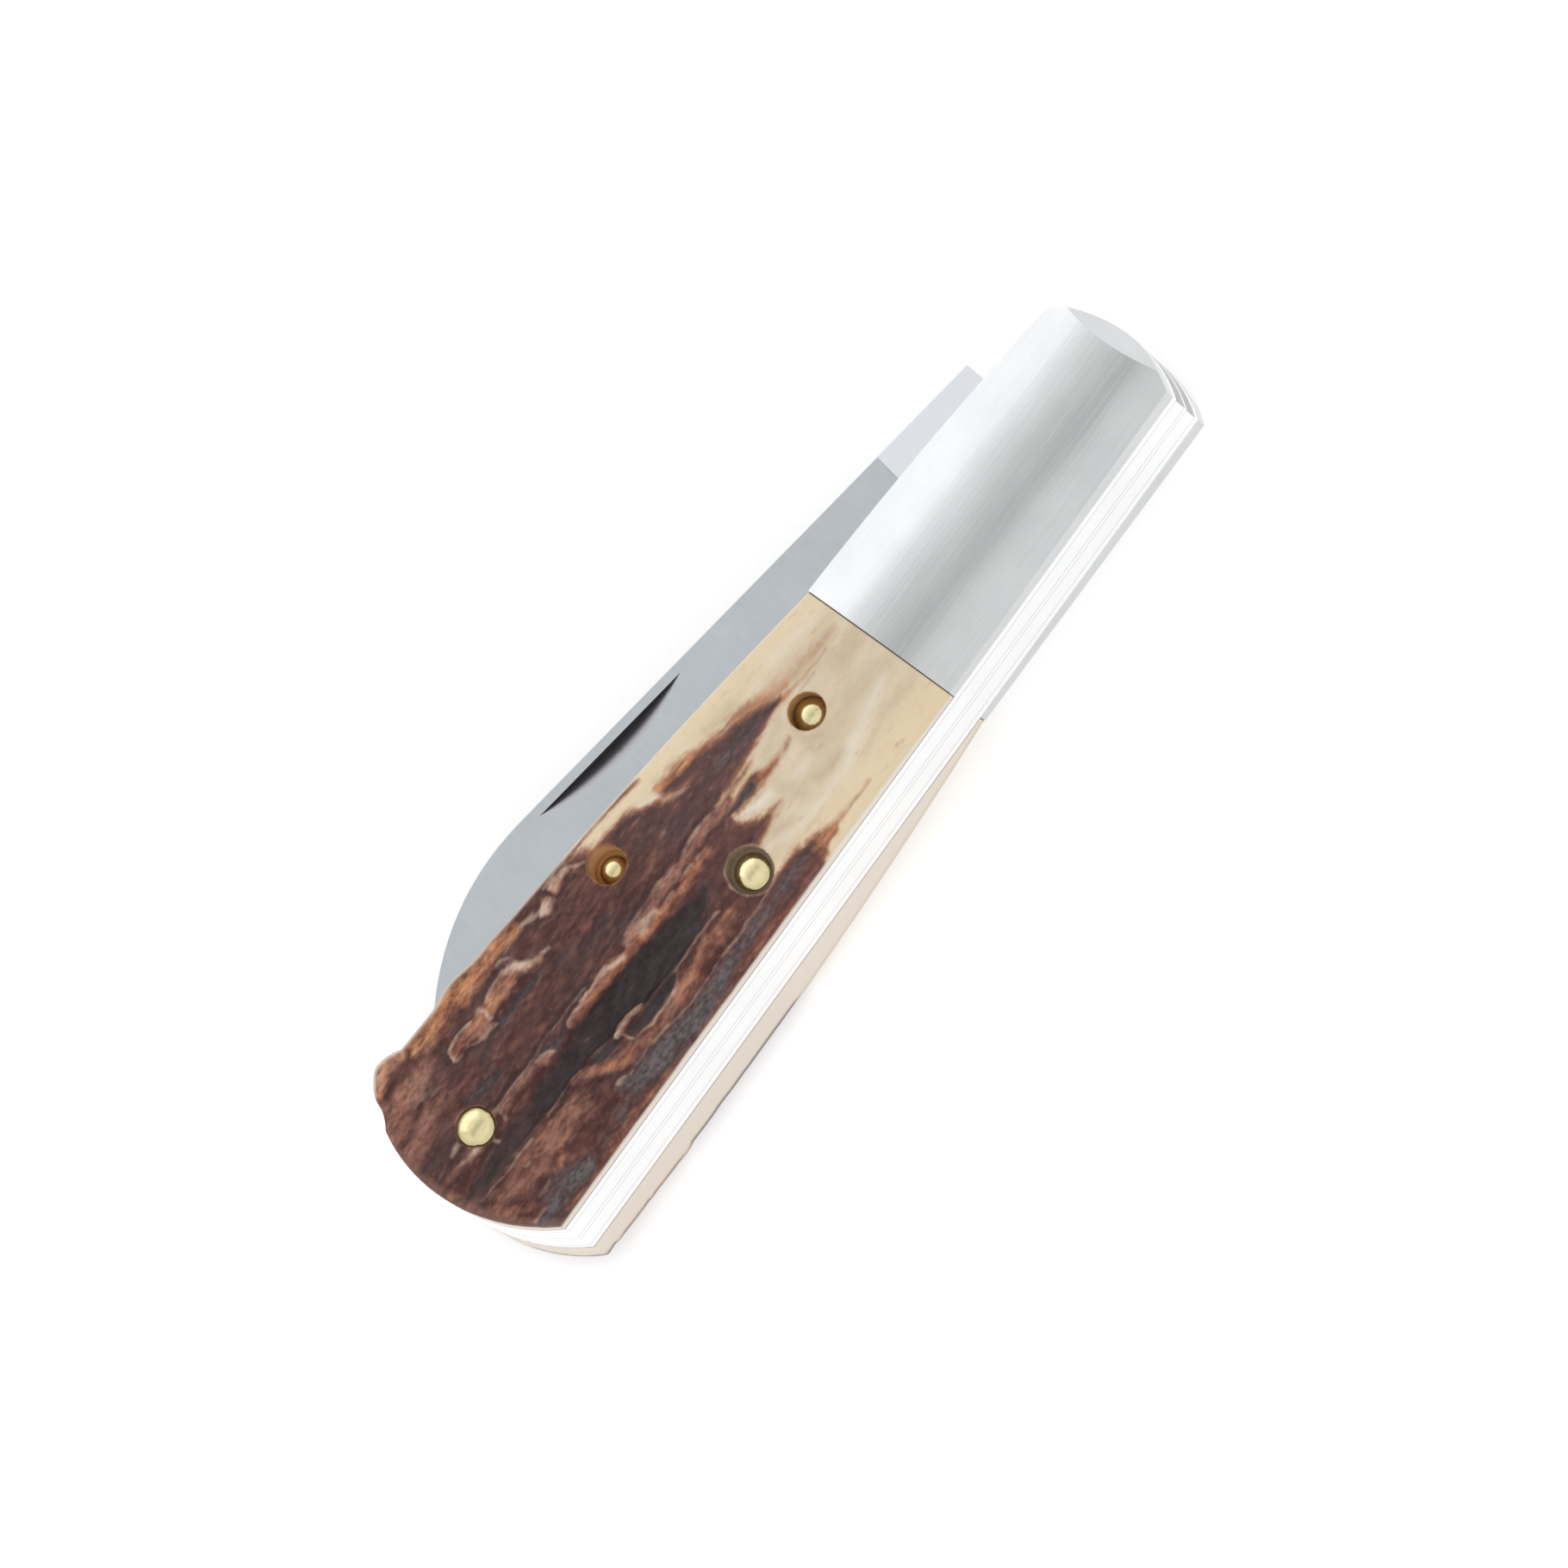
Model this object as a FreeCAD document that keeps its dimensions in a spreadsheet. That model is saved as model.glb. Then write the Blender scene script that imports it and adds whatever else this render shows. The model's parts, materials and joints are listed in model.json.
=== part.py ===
import FreeCAD, Part
import os
import re
import Sketcher

# A two-blade slip-joint jack knife, closed and lying on its rear side.
#
# The pieces are drawn in the handle's own frame, in millimetres:
# x runs along the handle towards the bolster end, from the joint of bolster and scale,
# y runs from the back of the handle, where the springs are, towards the blades,
# z runs from the middle of the handle towards the front side.
# The finished knife is then moved so that its origin is the bottom centre of its box.

SIZES = {
    # Handle outline, seen from the front
    "butt_reach": 55.15,
    "butt_bulge": 3.75,
    "butt_radius": 15.0,
    "butt_width": 19.0,
    "butt_corner_radius": 4.0,
    "joint_width": 14.75,
    "nose_reach": 30.85,
    "nose_bulge": 1.95,
    "nose_width": 12.3,
    "nose_corner_radius": 1.2,
    "bolster_edge_radius": 264.0,
    "liner_edge_radius": 480.0,
    # Stack of sheets between the two sides
    "liner_thickness": 0.9,
    "spring_thickness": 2.3,
    "centre_thickness": 0.6,
    "blade_gap": 0.05,
    # Bolsters
    "bolster_height": 3.0,
    "bolster_wall": 1.2,
    "bevel_length": 1.65,
    "bevel_foot": 1.0,
    "rivet_radius": 0.8,
    "rivet_depth": 1.3,
    "joint_rivet_reach": 5.5,
    "nose_rivet_pitch": 7.7,
    "rivet_height": 7.0,
    # Pivot and slip joint
    "pivot_inset": 6.18,
    "pivot_height": 7.75,
    "pivot_radius": 1.6,
    "pivot_clearance": 0.05,
    "opening_angle": 171.05,
    "spring_end_inset": 0.08,
    "stop_gap": 0.05,
    "flat_distance": 4.0,
    "tang_gap": 0.03,
    "tang_cover": 0.68,
    "kick_reach": 9.0,
    # Blades, measured from the pivot
    "edge_offset": 4.65,
    "ricasso_length": 14.35,
    "choil_width": 1.8,
    "choil_radius": 1.0,
    "grind_step": 0.08,
    "edge_thickness": 0.2,
    "main_tip_inset": 7.92,
    "main_drop_length": 17.1,
    "main_drop_radius": 22.5,
    "main_belly_length": 19.9,
    "pen_tip_inset": 34.82,
    "pen_drop_length": 19.0,
    "pen_drop_radius": 26.0,
    "pen_belly_length": 14.0,
    # Nail nicks, cut by a bevelled wheel
    "nick_inset": 0.8,
    "nick_width": 1.9,
    "nick_depth": 0.8,
    "nick_length": 15.9,
    "main_nick_from_tip": 26.7,
    "pen_nick_from_tip": 19.0,
    # Springs
    "bearing_length": 11.7,
    "bearing_taper": 7.0,
    "waist_height": 3.1,
    "swell_run": 8.3,
    "swell_height": 6.5,
    "swell_half_width": 2.8,
    "swell_radius": 12.0,
    "tail_ramp": 8.0,
    "tail_ramp_height": 8.0,
    "tail_length": 9.15,
    "tail_height": 12.6,
    "tail_radius": 14.0,
    # Antler scales, heights above the liner
    "scale_middle": 25.0,
    "slab_margin": 1.6,
    "nub_start_inset": 7.25,
    "nub_start_rise": 0.65,
    "nub_end_inset": 2.75,
    "nub_end_drop": 0.7,
    "nub_radius": 2.9,
    "nub_hollow_drop": 2.8,
    "nub_hollow_radius": 4.0,
    "scale_edge_radius": 600.0,
    "front_middle_wall": 2.0,
    "front_middle_edge": 1.4,
    "front_middle_bulge": 2.05,
    "front_butt_wall": 1.8,
    "front_butt_edge": 1.3,
    "front_butt_bulge": 0.95,
    "rear_middle_wall": 4.3,
    "rear_middle_edge": 3.3,
    "rear_middle_bulge": 1.2,
    "rear_butt_wall": 3.3,
    "rear_butt_edge": 2.8,
    "rear_butt_bulge": 1.0,
    # Furrow of the front scale's bark, depths under the crown line
    "furrow_radius": 2.2,
    "furrow_start": 20.2,
    "furrow_start_height": 6.0,
    "furrow_start_rise": 0.4,
    "furrow_near": 29.1,
    "furrow_near_height": 5.95,
    "furrow_near_depth": 0.75,
    "furrow_far": 40.9,
    "furrow_far_height": 6.9,
    "furrow_far_depth": 0.5,
    "furrow_butt_height": 7.0,
    "furrow_butt_depth": 0.35,
    # Brass pins
    "pin_radius": 0.8,
    "pin_rim": 0.2,
    "pin_dome": 0.65,
    "joint_pin_reach": 7.7,
    "joint_pin_height": 7.95,
    "joint_pin_head": 1.45,
    "joint_pin_gap": 0.1,
    "joint_pin_seat": 1.9,
    "edge_pin_reach": 26.6,
    "edge_pin_height": 13.95,
    "edge_pin_head": 1.2,
    "edge_pin_gap": 0.35,
    "edge_pin_seat": 1.1,
    "spring_pin_reach": 20.3,
    "spring_pin_height": 4.0,
    "spring_pin_head": 1.5,
    "spring_pin_gap": 0.35,
    "spring_pin_seat": 2.3,
    "spring_pin_rear_seat": 4.0,
    "butt_pin_inset": 6.05,
    "butt_pin_height": 10.1,
    "butt_pin_head": 1.55,
    "butt_pin_gap": 0.08,
    "butt_pin_seat": 2.4,
    "butt_pin_rear_seat": 3.6,
    "rear_pin_seat_gain": 0.6,
}

# How far an outline that cuts runs past the piece
CLEAR = 3.0

# Places and shapes that follow from the sizes
CORE_HALF = "(centre_thickness / 2 + spring_thickness + liner_thickness)"
SLOT_MIDDLE = "(centre_thickness / 2 + spring_thickness / 2)"
BLADE_THICKNESS = "(spring_thickness - 2 * blade_gap)"
NOSE_X = "(nose_reach - nose_bulge)"
NOSE_RADIUS = "((nose_width^2 / 4 + nose_bulge^2) / (2 * nose_bulge))"
BUTT_CENTRE_X = "(butt_radius - butt_reach)"
BUTT_CENTRE_Y = "sqrt(butt_radius^2 - (butt_radius - butt_bulge)^2)"
BUTT_X = "(butt_bulge - butt_reach)"
CROWN_RISE = "(bolster_height - bolster_wall)"
CROWN_RADIUS = f"((joint_width^2 / 4 + {CROWN_RISE}^2) / (2 * {CROWN_RISE}))"
CROWN_TURN = f"atan((joint_width - nose_width) / 2 / {NOSE_X})"
FOLD = "(180 - opening_angle)"
PIVOT_X = "(nose_reach - pivot_inset)"
SPRING_END = f"({NOSE_X} - spring_end_inset)"
STOP_X = f"({SPRING_END} + stop_gap - {PIVOT_X})"
TANG_RADIUS = "(pivot_inset - tang_cover)"
TANG_HALF = f"sqrt({TANG_RADIUS}^2 - flat_distance^2)"
SPRING_TIP = "(pivot_height - flat_distance - tang_gap)"
NICK_WHEEL = "((nick_length^2 / 4 + nick_depth^2) / (2 * nick_depth))"

doc = FreeCAD.newDocument("pocket_knife")
sheet = doc.addObject("Spreadsheet::Sheet", "size")
for row, (name, number) in enumerate(SIZES.items(), 1):
    sheet.set(f"A{row}", name)
    sheet.set(f"B{row}", str(number))
    sheet.setAlias(f"B{row}", name)
doc.recompute()
pieces = []


def bound(text):
    """The expression with each size's name pointing at its cell."""
    return re.sub(r"[a-z][a-z_]*", lambda word: f"size.{word[0]}" if word[0] in SIZES else word[0], text)


def value(text):
    """The number that an expression of sizes gives."""
    return float(sheet.evalExpression(bound(text)))


def butt_x(height):
    """Where the butt's arc stands at a height above the back."""
    return f"({BUTT_CENTRE_X} - sqrt(butt_radius^2 - ({height} - {BUTT_CENTRE_Y})^2))"


def new_body(label):
    body = doc.addObject("PartDesign::Body", label)
    body.Label = label
    return body


def new_sketch(body, name, role="XY_Plane", **offset):
    """A sketch on one of the body's own planes, moved along the sketch's own axes."""
    sketch = body.newObject("Sketcher::SketchObject", name)
    plane = next(item for item in body.Origin.OriginFeatures if item.Role == role)
    sketch.AttachmentSupport = [(plane, "")]
    sketch.MapMode = "FlatFace"
    for axis, text in offset.items():
        sketch.setExpression(f"AttachmentOffset.Base.{axis}", bound(text))
    return sketch


def fix(sketch, kind, geometry, point, text):
    """One measured constraint, bound to the sheet."""
    if kind == "Radius":
        rule = Sketcher.Constraint(kind, geometry, value(text))
    else:
        rule = Sketcher.Constraint(kind, -1, 1, geometry, point, value(text))
    index = sketch.addConstraint(rule)
    sketch.setExpression(f"Constraints[{index}]", bound(text))


def arc_between(start, end, radius, left):
    """The short arc from start to end, with its centre on the left or the right of the way."""
    chord = end - start
    across = FreeCAD.Vector(-chord.y, chord.x, 0).normalize()
    height = (radius**2 - chord.Length**2 / 4) ** 0.5
    centre = (start + end) * 0.5 + across * (height if left else -height)
    middle = centre + ((start + end) * 0.5 - centre).normalize() * radius
    return Part.Arc(start, middle, end)


def outline(sketch, nodes):
    """A closed outline. A node is x and y, with the radius and the centre's side where an arc follows."""
    points = [FreeCAD.Vector(value(node[0]), value(node[1]), 0) for node in nodes]
    starts = []
    for index, node in enumerate(nodes):
        start = points[index]
        end = points[(index + 1) % len(nodes)]
        if len(node) == 2:
            geometry = sketch.addGeometry(Part.LineSegment(start, end), False)
            starts.append((geometry, 1, 2))
            continue
        arc = arc_between(start, end, value(node[2]), node[3] == "left")
        geometry = sketch.addGeometry(arc, False)
        turned = sketch.getPoint(geometry, 1).distanceToPoint(start) > 1e-6
        starts.append((geometry, 2, 1) if turned else (geometry, 1, 2))
        fix(sketch, "Radius", geometry, 0, node[2])
    for index, node in enumerate(nodes):
        geometry, first, last = starts[index]
        after, after_first, _ = starts[(index + 1) % len(nodes)]
        sketch.addConstraint(Sketcher.Constraint("Coincident", geometry, last, after, after_first))
        fix(sketch, "DistanceX", geometry, first, node[0])
        fix(sketch, "DistanceY", geometry, first, node[1])


def circle(sketch, x, y, radius):
    geometry = sketch.addGeometry(
        Part.Circle(FreeCAD.Vector(value(x), value(y), 0), FreeCAD.Vector(0, 0, 1), value(radius)), False)
    fix(sketch, "DistanceX", geometry, 3, x)
    fix(sketch, "DistanceY", geometry, 3, y)
    fix(sketch, "Radius", geometry, 0, radius)


def pad(body, sketch, length, side="One side", down=False):
    feature = body.newObject("PartDesign::Pad", f"{sketch.Name}_pad")
    feature.Profile = sketch
    feature.SideType = side
    feature.Reversed = down
    feature.setExpression("Length", bound(length))
    doc.recompute()
    return feature


def take_away(body, feature, before):
    """Makes sure that a cut has taken material away."""
    doc.recompute()
    if feature.Shape.isNull() or feature.Shape.Volume > before - 1e-6:
        raise ValueError(f"{feature.Name} cuts nothing from {body.Label}")


def pocket(body, sketch, length=None, up=None):
    """A cut from the sketch's plane, up or down, to a depth or right out. With no way given, it cuts both ways."""
    before = body.Tip.Shape.Volume
    feature = body.newObject("PartDesign::Pocket", f"{sketch.Name}_cut")
    feature.Profile = sketch
    if up is None:
        feature.SideType = "Symmetric"
    else:
        feature.Reversed = up
    if length is None:
        feature.Type = "ThroughAll"
    else:
        feature.setExpression("Length", bound(length))
    take_away(body, feature, before)


def turn(body, sketch, kind="PartDesign::Revolution", axis="V_Axis"):
    """A full turn of a profile, added to the body or cut from it."""
    before = body.Tip.Shape.Volume if body.Tip else 0
    feature = body.newObject(kind, f"{sketch.Name}_turn")
    feature.Profile = sketch
    feature.ReferenceAxis = (sketch, [axis])
    feature.Angle = 360
    if kind == "PartDesign::Groove":
        take_away(body, feature, before)
    doc.recompute()


def loft(body, sections, kind, ruled):
    before = body.Tip.Shape.Volume if body.Tip else 0
    feature = body.newObject(kind, f"{sections[0].Name}_loft")
    feature.Profile = sections[0]
    feature.Sections = sections[1:]
    feature.Ruled = ruled
    if kind == "PartDesign::SubtractiveLoft":
        take_away(body, feature, before)
    doc.recompute()
    return feature


def round_corner(body, radius, x, y):
    """Rounds the upright edge of a sheet that stands at a corner of its outline."""
    corner = FreeCAD.Vector(value(x), value(y), 0)
    base = body.Tip
    names = []
    for index, edge in enumerate(base.Shape.Edges, 1):
        ends = [vertex.Point for vertex in edge.Vertexes]
        if all(((end.x - corner.x) ** 2 + (end.y - corner.y) ** 2) ** 0.5 < 0.01 for end in ends):
            names.append(f"Edge{index}")
    feature = body.newObject("PartDesign::Fillet", f"{body.Name}_corner{len(body.Group)}")
    feature.Base = (base, names)
    feature.setExpression("Radius", bound(radius))
    doc.recompute()


def keep(piece, x="0", y="0", z="0", turned="0"):
    """Lists a finished piece with its place in the handle's frame."""
    place = FreeCAD.Vector(value(x), value(y), value(z))
    pieces.append((piece, FreeCAD.Placement(place, FreeCAD.Rotation(FreeCAD.Vector(0, 0, 1), value(turned)))))
    return piece


# Pin places, from the joint and the back
PIVOT = (PIVOT_X, "pivot_height")
JOINT_PIN = ("-joint_pin_reach", "joint_pin_height")
EDGE_PIN = ("-edge_pin_reach", "edge_pin_height")
SPRING_PIN = ("-spring_pin_reach", "spring_pin_height")
BUTT_PIN = ("(butt_pin_inset - butt_reach)", "butt_pin_height")
JOINT_RIVET = ("joint_rivet_reach", "rivet_height")
NOSE_RIVET = (f"({PIVOT_X} - nose_rivet_pitch)", "rivet_height")
THROUGH_PINS = [(*PIVOT, "pivot_radius"), (*SPRING_PIN, "pin_radius"), (*BUTT_PIN, "pin_radius")]
SIDE_PINS = [(*JOINT_PIN, "pin_radius"), (*EDGE_PIN, "pin_radius")]
RIVETS = [(*JOINT_RIVET, "rivet_radius"), (*NOSE_RIVET, "rivet_radius")]


def liner(label, thickness, z, holes):
    """A sheet with the whole handle's outline, straight along the back."""
    body = new_body(label)
    sketch = new_sketch(body, f"{label}_outline")
    outline(sketch, [
        (BUTT_X, "0"),
        (NOSE_X, "0", NOSE_RADIUS, "left"),
        (NOSE_X, "nose_width", "bolster_edge_radius", "left"),
        ("0", "joint_width", "liner_edge_radius", "left"),
        (butt_x("butt_width"), "butt_width", "butt_radius", "left"),
    ])
    for hole in holes:
        circle(sketch, *hole)
    pad(body, sketch, thickness)
    round_corner(body, "butt_corner_radius", butt_x("butt_width"), "butt_width")
    round_corner(body, "nose_corner_radius", NOSE_X, "nose_width")
    keep(body, z=z)


def crown_cut(body, side, base):
    """Grinds one side round across its width, along the bolster's tapering middle line."""
    name = f"{body.Name}_crown{side}"
    sketch = new_sketch(body, name, "YZ_Plane", x="joint_width / 2", y=f"{side} * {base}")
    sketch.AttachmentOffset = FreeCAD.Placement(FreeCAD.Vector(), FreeCAD.Rotation(FreeCAD.Vector(0, 1, 0), 1))
    sketch.setExpression("AttachmentOffset.Rotation.Angle", bound(f"-{CROWN_TURN}"))
    half = f"(joint_width / 2 + {CLEAR} / 2)"
    low = f"{side} * (bolster_height - {CROWN_RADIUS} + sqrt({CROWN_RADIUS}^2 - {half}^2))"
    high = f"{side} * (bolster_height + {CLEAR})"
    outline(sketch, [
        (half, low, CROWN_RADIUS, "left" if side > 0 else "right"),
        (f"-{half}", low),
        (f"-{half}", high),
        (half, high),
    ])
    pocket(body, sketch)


def bolster(label, side):
    """A crowned cheek over the pivot, with a crescent bevel at its rounded end."""
    body = new_body(label)
    sketch = new_sketch(body, f"{label}_outline")
    outline(sketch, [
        ("0", "0"),
        (NOSE_X, "0", NOSE_RADIUS, "left"),
        (NOSE_X, "nose_width", "bolster_edge_radius", "left"),
        ("0", "joint_width"),
    ])
    circle(sketch, *PIVOT, "pivot_radius")
    pad(body, sketch, "bolster_height", down=side < 0)
    round_corner(body, "nose_corner_radius", NOSE_X, "nose_width")
    rivets = new_sketch(body, f"{label}_rivets")
    for rivet in RIVETS:
        circle(rivets, *rivet)
    pocket(body, rivets, "rivet_depth", up=side > 0)
    crown_cut(body, side, "0")
    bevel = new_sketch(body, f"{label}_bevel", "XZ_Plane")
    slope = "((bolster_height - bevel_foot) / bevel_length)"
    outline(bevel, [
        (f"nose_reach - bevel_length - {CLEAR}", f"{side} * (bolster_height + {slope} * {CLEAR})"),
        (f"nose_reach + {CLEAR}", f"{side} * (bevel_foot - {slope} * {CLEAR})"),
        (f"nose_reach + {CLEAR}", f"{side} * (bolster_height + {slope} * {CLEAR})"),
    ])
    pocket(body, bevel)
    keep(body, z=f"{side} * {CORE_HALF}")


def rivet(label, place, z):
    """A peened rivet between bolster and liner, hidden once the knife is together."""
    piece = doc.addObject("Part::Cylinder", label)
    piece.Label = label
    piece.setExpression("Radius", bound("rivet_radius"))
    piece.setExpression("Height", bound("liner_thickness + rivet_depth"))
    doc.recompute()
    keep(piece, *place, z)


def furrow(body, side, heights):
    """The bark's long furrow: a round channel that sinks in behind the spring pin and runs out at the butt."""
    middle = f"(({heights}_middle_wall + {heights}_middle_edge) / 2 + {heights}_middle_bulge)"
    butt = f"(({heights}_butt_wall + {heights}_butt_edge) / 2 + {heights}_butt_bulge)"
    end = "(butt_reach + slab_margin)"
    sections = []
    for index, (reach, height, depth) in enumerate([
        ("furrow_start", "furrow_start_height", "-furrow_start_rise"),
        ("furrow_near", "furrow_near_height", "furrow_near_depth"),
        ("furrow_far", "furrow_far_height", "furrow_far_depth"),
        (end, "furrow_butt_height", "furrow_butt_depth"),
    ]):
        crown = f"({middle} + ({butt} - {middle}) * ({reach} - scale_middle) / ({end} - scale_middle))"
        section = new_sketch(body, f"{body.Name}_furrow{index}", "YZ_Plane", z=f"-{reach}")
        circle(section, height, f"{side} * ({crown} - {depth} + furrow_radius)", "furrow_radius")
        sections.append(section)
    loft(body, sections, "PartDesign::SubtractiveLoft", False)


def scale(label, side, heights, seats, furrowed):
    """A slab of antler: crowned, thicker at its middle, with a nub at the butt's corner."""
    body = new_body(label)
    sections = []
    reach = "(joint_width + slab_margin)"
    edge = f"(bolster_height - {CROWN_RADIUS} + sqrt({CROWN_RADIUS}^2 - (joint_width / 2 + slab_margin)^2))"
    stations = [("joint", "0", reach, "bolster_wall", edge, CROWN_RADIUS)]
    middle_width = "((joint_width + butt_width) / 2)"
    for station, x, width in (("middle", "-scale_middle", middle_width),
                              ("butt", "-(butt_reach + slab_margin)", "butt_width")):
        wall = f"{heights}_{station}_wall"
        edge = f"{heights}_{station}_edge"
        bulge = f"{heights}_{station}_bulge"
        reach = f"({width} + slab_margin)"
        radius = f"((({reach}^2 + ({wall} - {edge})^2) / 4 + {bulge}^2) / (2 * {bulge}))"
        stations.append((station, x, reach, wall, edge, radius))
    for station, x, reach, wall, edge, radius in stations:
        section = new_sketch(body, f"{label}_{station}", "YZ_Plane", z=x)
        outline(section, [
            ("0", "0"),
            (reach, "0"),
            (reach, f"{side} * {edge}", radius, "left" if side > 0 else "right"),
            ("0", f"{side} * {wall}"),
        ])
        sections.append(section)
    loft(body, sections, "PartDesign::AdditiveLoft", False)
    trim = new_sketch(body, f"{label}_outline")
    outline(trim, [
        (BUTT_X, "0"),
        ("0", "0"),
        ("0", "joint_width", "scale_edge_radius", "left"),
        ("nub_start_inset - butt_reach", "butt_width + nub_start_rise", "nub_radius", "left"),
        ("nub_end_inset - butt_reach", "butt_width - nub_end_drop", "nub_hollow_radius", "right"),
        (butt_x("(butt_width - nub_hollow_drop)"), "butt_width - nub_hollow_drop", "butt_radius", "left"),
    ])
    outline(trim, [
        (f"-butt_reach - {CLEAR}", f"-{CLEAR}"),
        (f"{CLEAR}", f"-{CLEAR}"),
        (f"{CLEAR}", f"butt_width + slab_margin + {CLEAR}"),
        (f"-butt_reach - {CLEAR}", f"butt_width + slab_margin + {CLEAR}"),
    ])
    pocket(body, trim)
    if furrowed:
        furrow(body, side, heights)
    shanks = new_sketch(body, f"{label}_shanks")
    for x, y, _, _ in seats:
        circle(shanks, x, y, "pin_radius")
    pocket(body, shanks)
    for index, (x, y, pin, seat) in enumerate(seats):
        recess = new_sketch(body, f"{label}_recess{index}", z=f"{side} * ({seat})")
        circle(recess, x, y, f"{pin}_head + {pin}_gap")
        pocket(body, recess, up=side > 0)
    keep(body, z=f"{side} * {CORE_HALF}")


def dome(head):
    return f"(({head}^2 + pin_dome^2) / (2 * pin_dome))"


def scale_pin(label, place, side, head, seat):
    """A short brass pin that holds a scale to its liner, with a domed head in the scale's recess."""
    body = new_body(label)
    sketch = new_sketch(body, f"{label}_profile", "XZ_Plane")
    top = f"(liner_thickness + {seat})"
    outline(sketch, [
        ("0", "0"),
        ("pin_radius", "0"),
        ("pin_radius", f"{side} * {top}"),
        (head, f"{side} * {top}"),
        (head, f"{side} * ({top} + pin_rim)", dome(head), "left" if side > 0 else "right"),
        ("0", f"{side} * ({top} + pin_rim + pin_dome)"),
    ])
    turn(body, sketch)
    keep(body, *place, f"{side} * ({CORE_HALF} - liner_thickness)")


def through_pin(label, place, head, front_seat, rear_seat):
    """A brass pin right through the handle, with a domed head in each scale."""
    body = new_body(label)
    sketch = new_sketch(body, f"{label}_profile", "XZ_Plane")
    top = f"({CORE_HALF} + {front_seat})"
    bottom = f"({CORE_HALF} + {rear_seat})"
    outline(sketch, [
        ("0", f"-({bottom} + pin_rim + pin_dome)", dome(head), "left"),
        (head, f"-({bottom} + pin_rim)"),
        (head, f"-{bottom}"),
        ("pin_radius", f"-{bottom}"),
        ("pin_radius", top),
        (head, top),
        (head, f"{top} + pin_rim", dome(head), "left"),
        ("0", f"{top} + pin_rim + pin_dome"),
    ])
    turn(body, sketch)
    keep(body, *place)


def pivot_pin():
    """The pin that both blades turn on, ground flush with both crowned bolsters."""
    body = new_body("pivot_pin")
    sketch = new_sketch(body, "pivot_section")
    circle(sketch, *PIVOT, "pivot_radius")
    pad(body, sketch, f"2 * ({CORE_HALF} + bolster_height)", side="Symmetric")
    crown_cut(body, 1, CORE_HALF)
    crown_cut(body, -1, CORE_HALF)
    keep(body)


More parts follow.
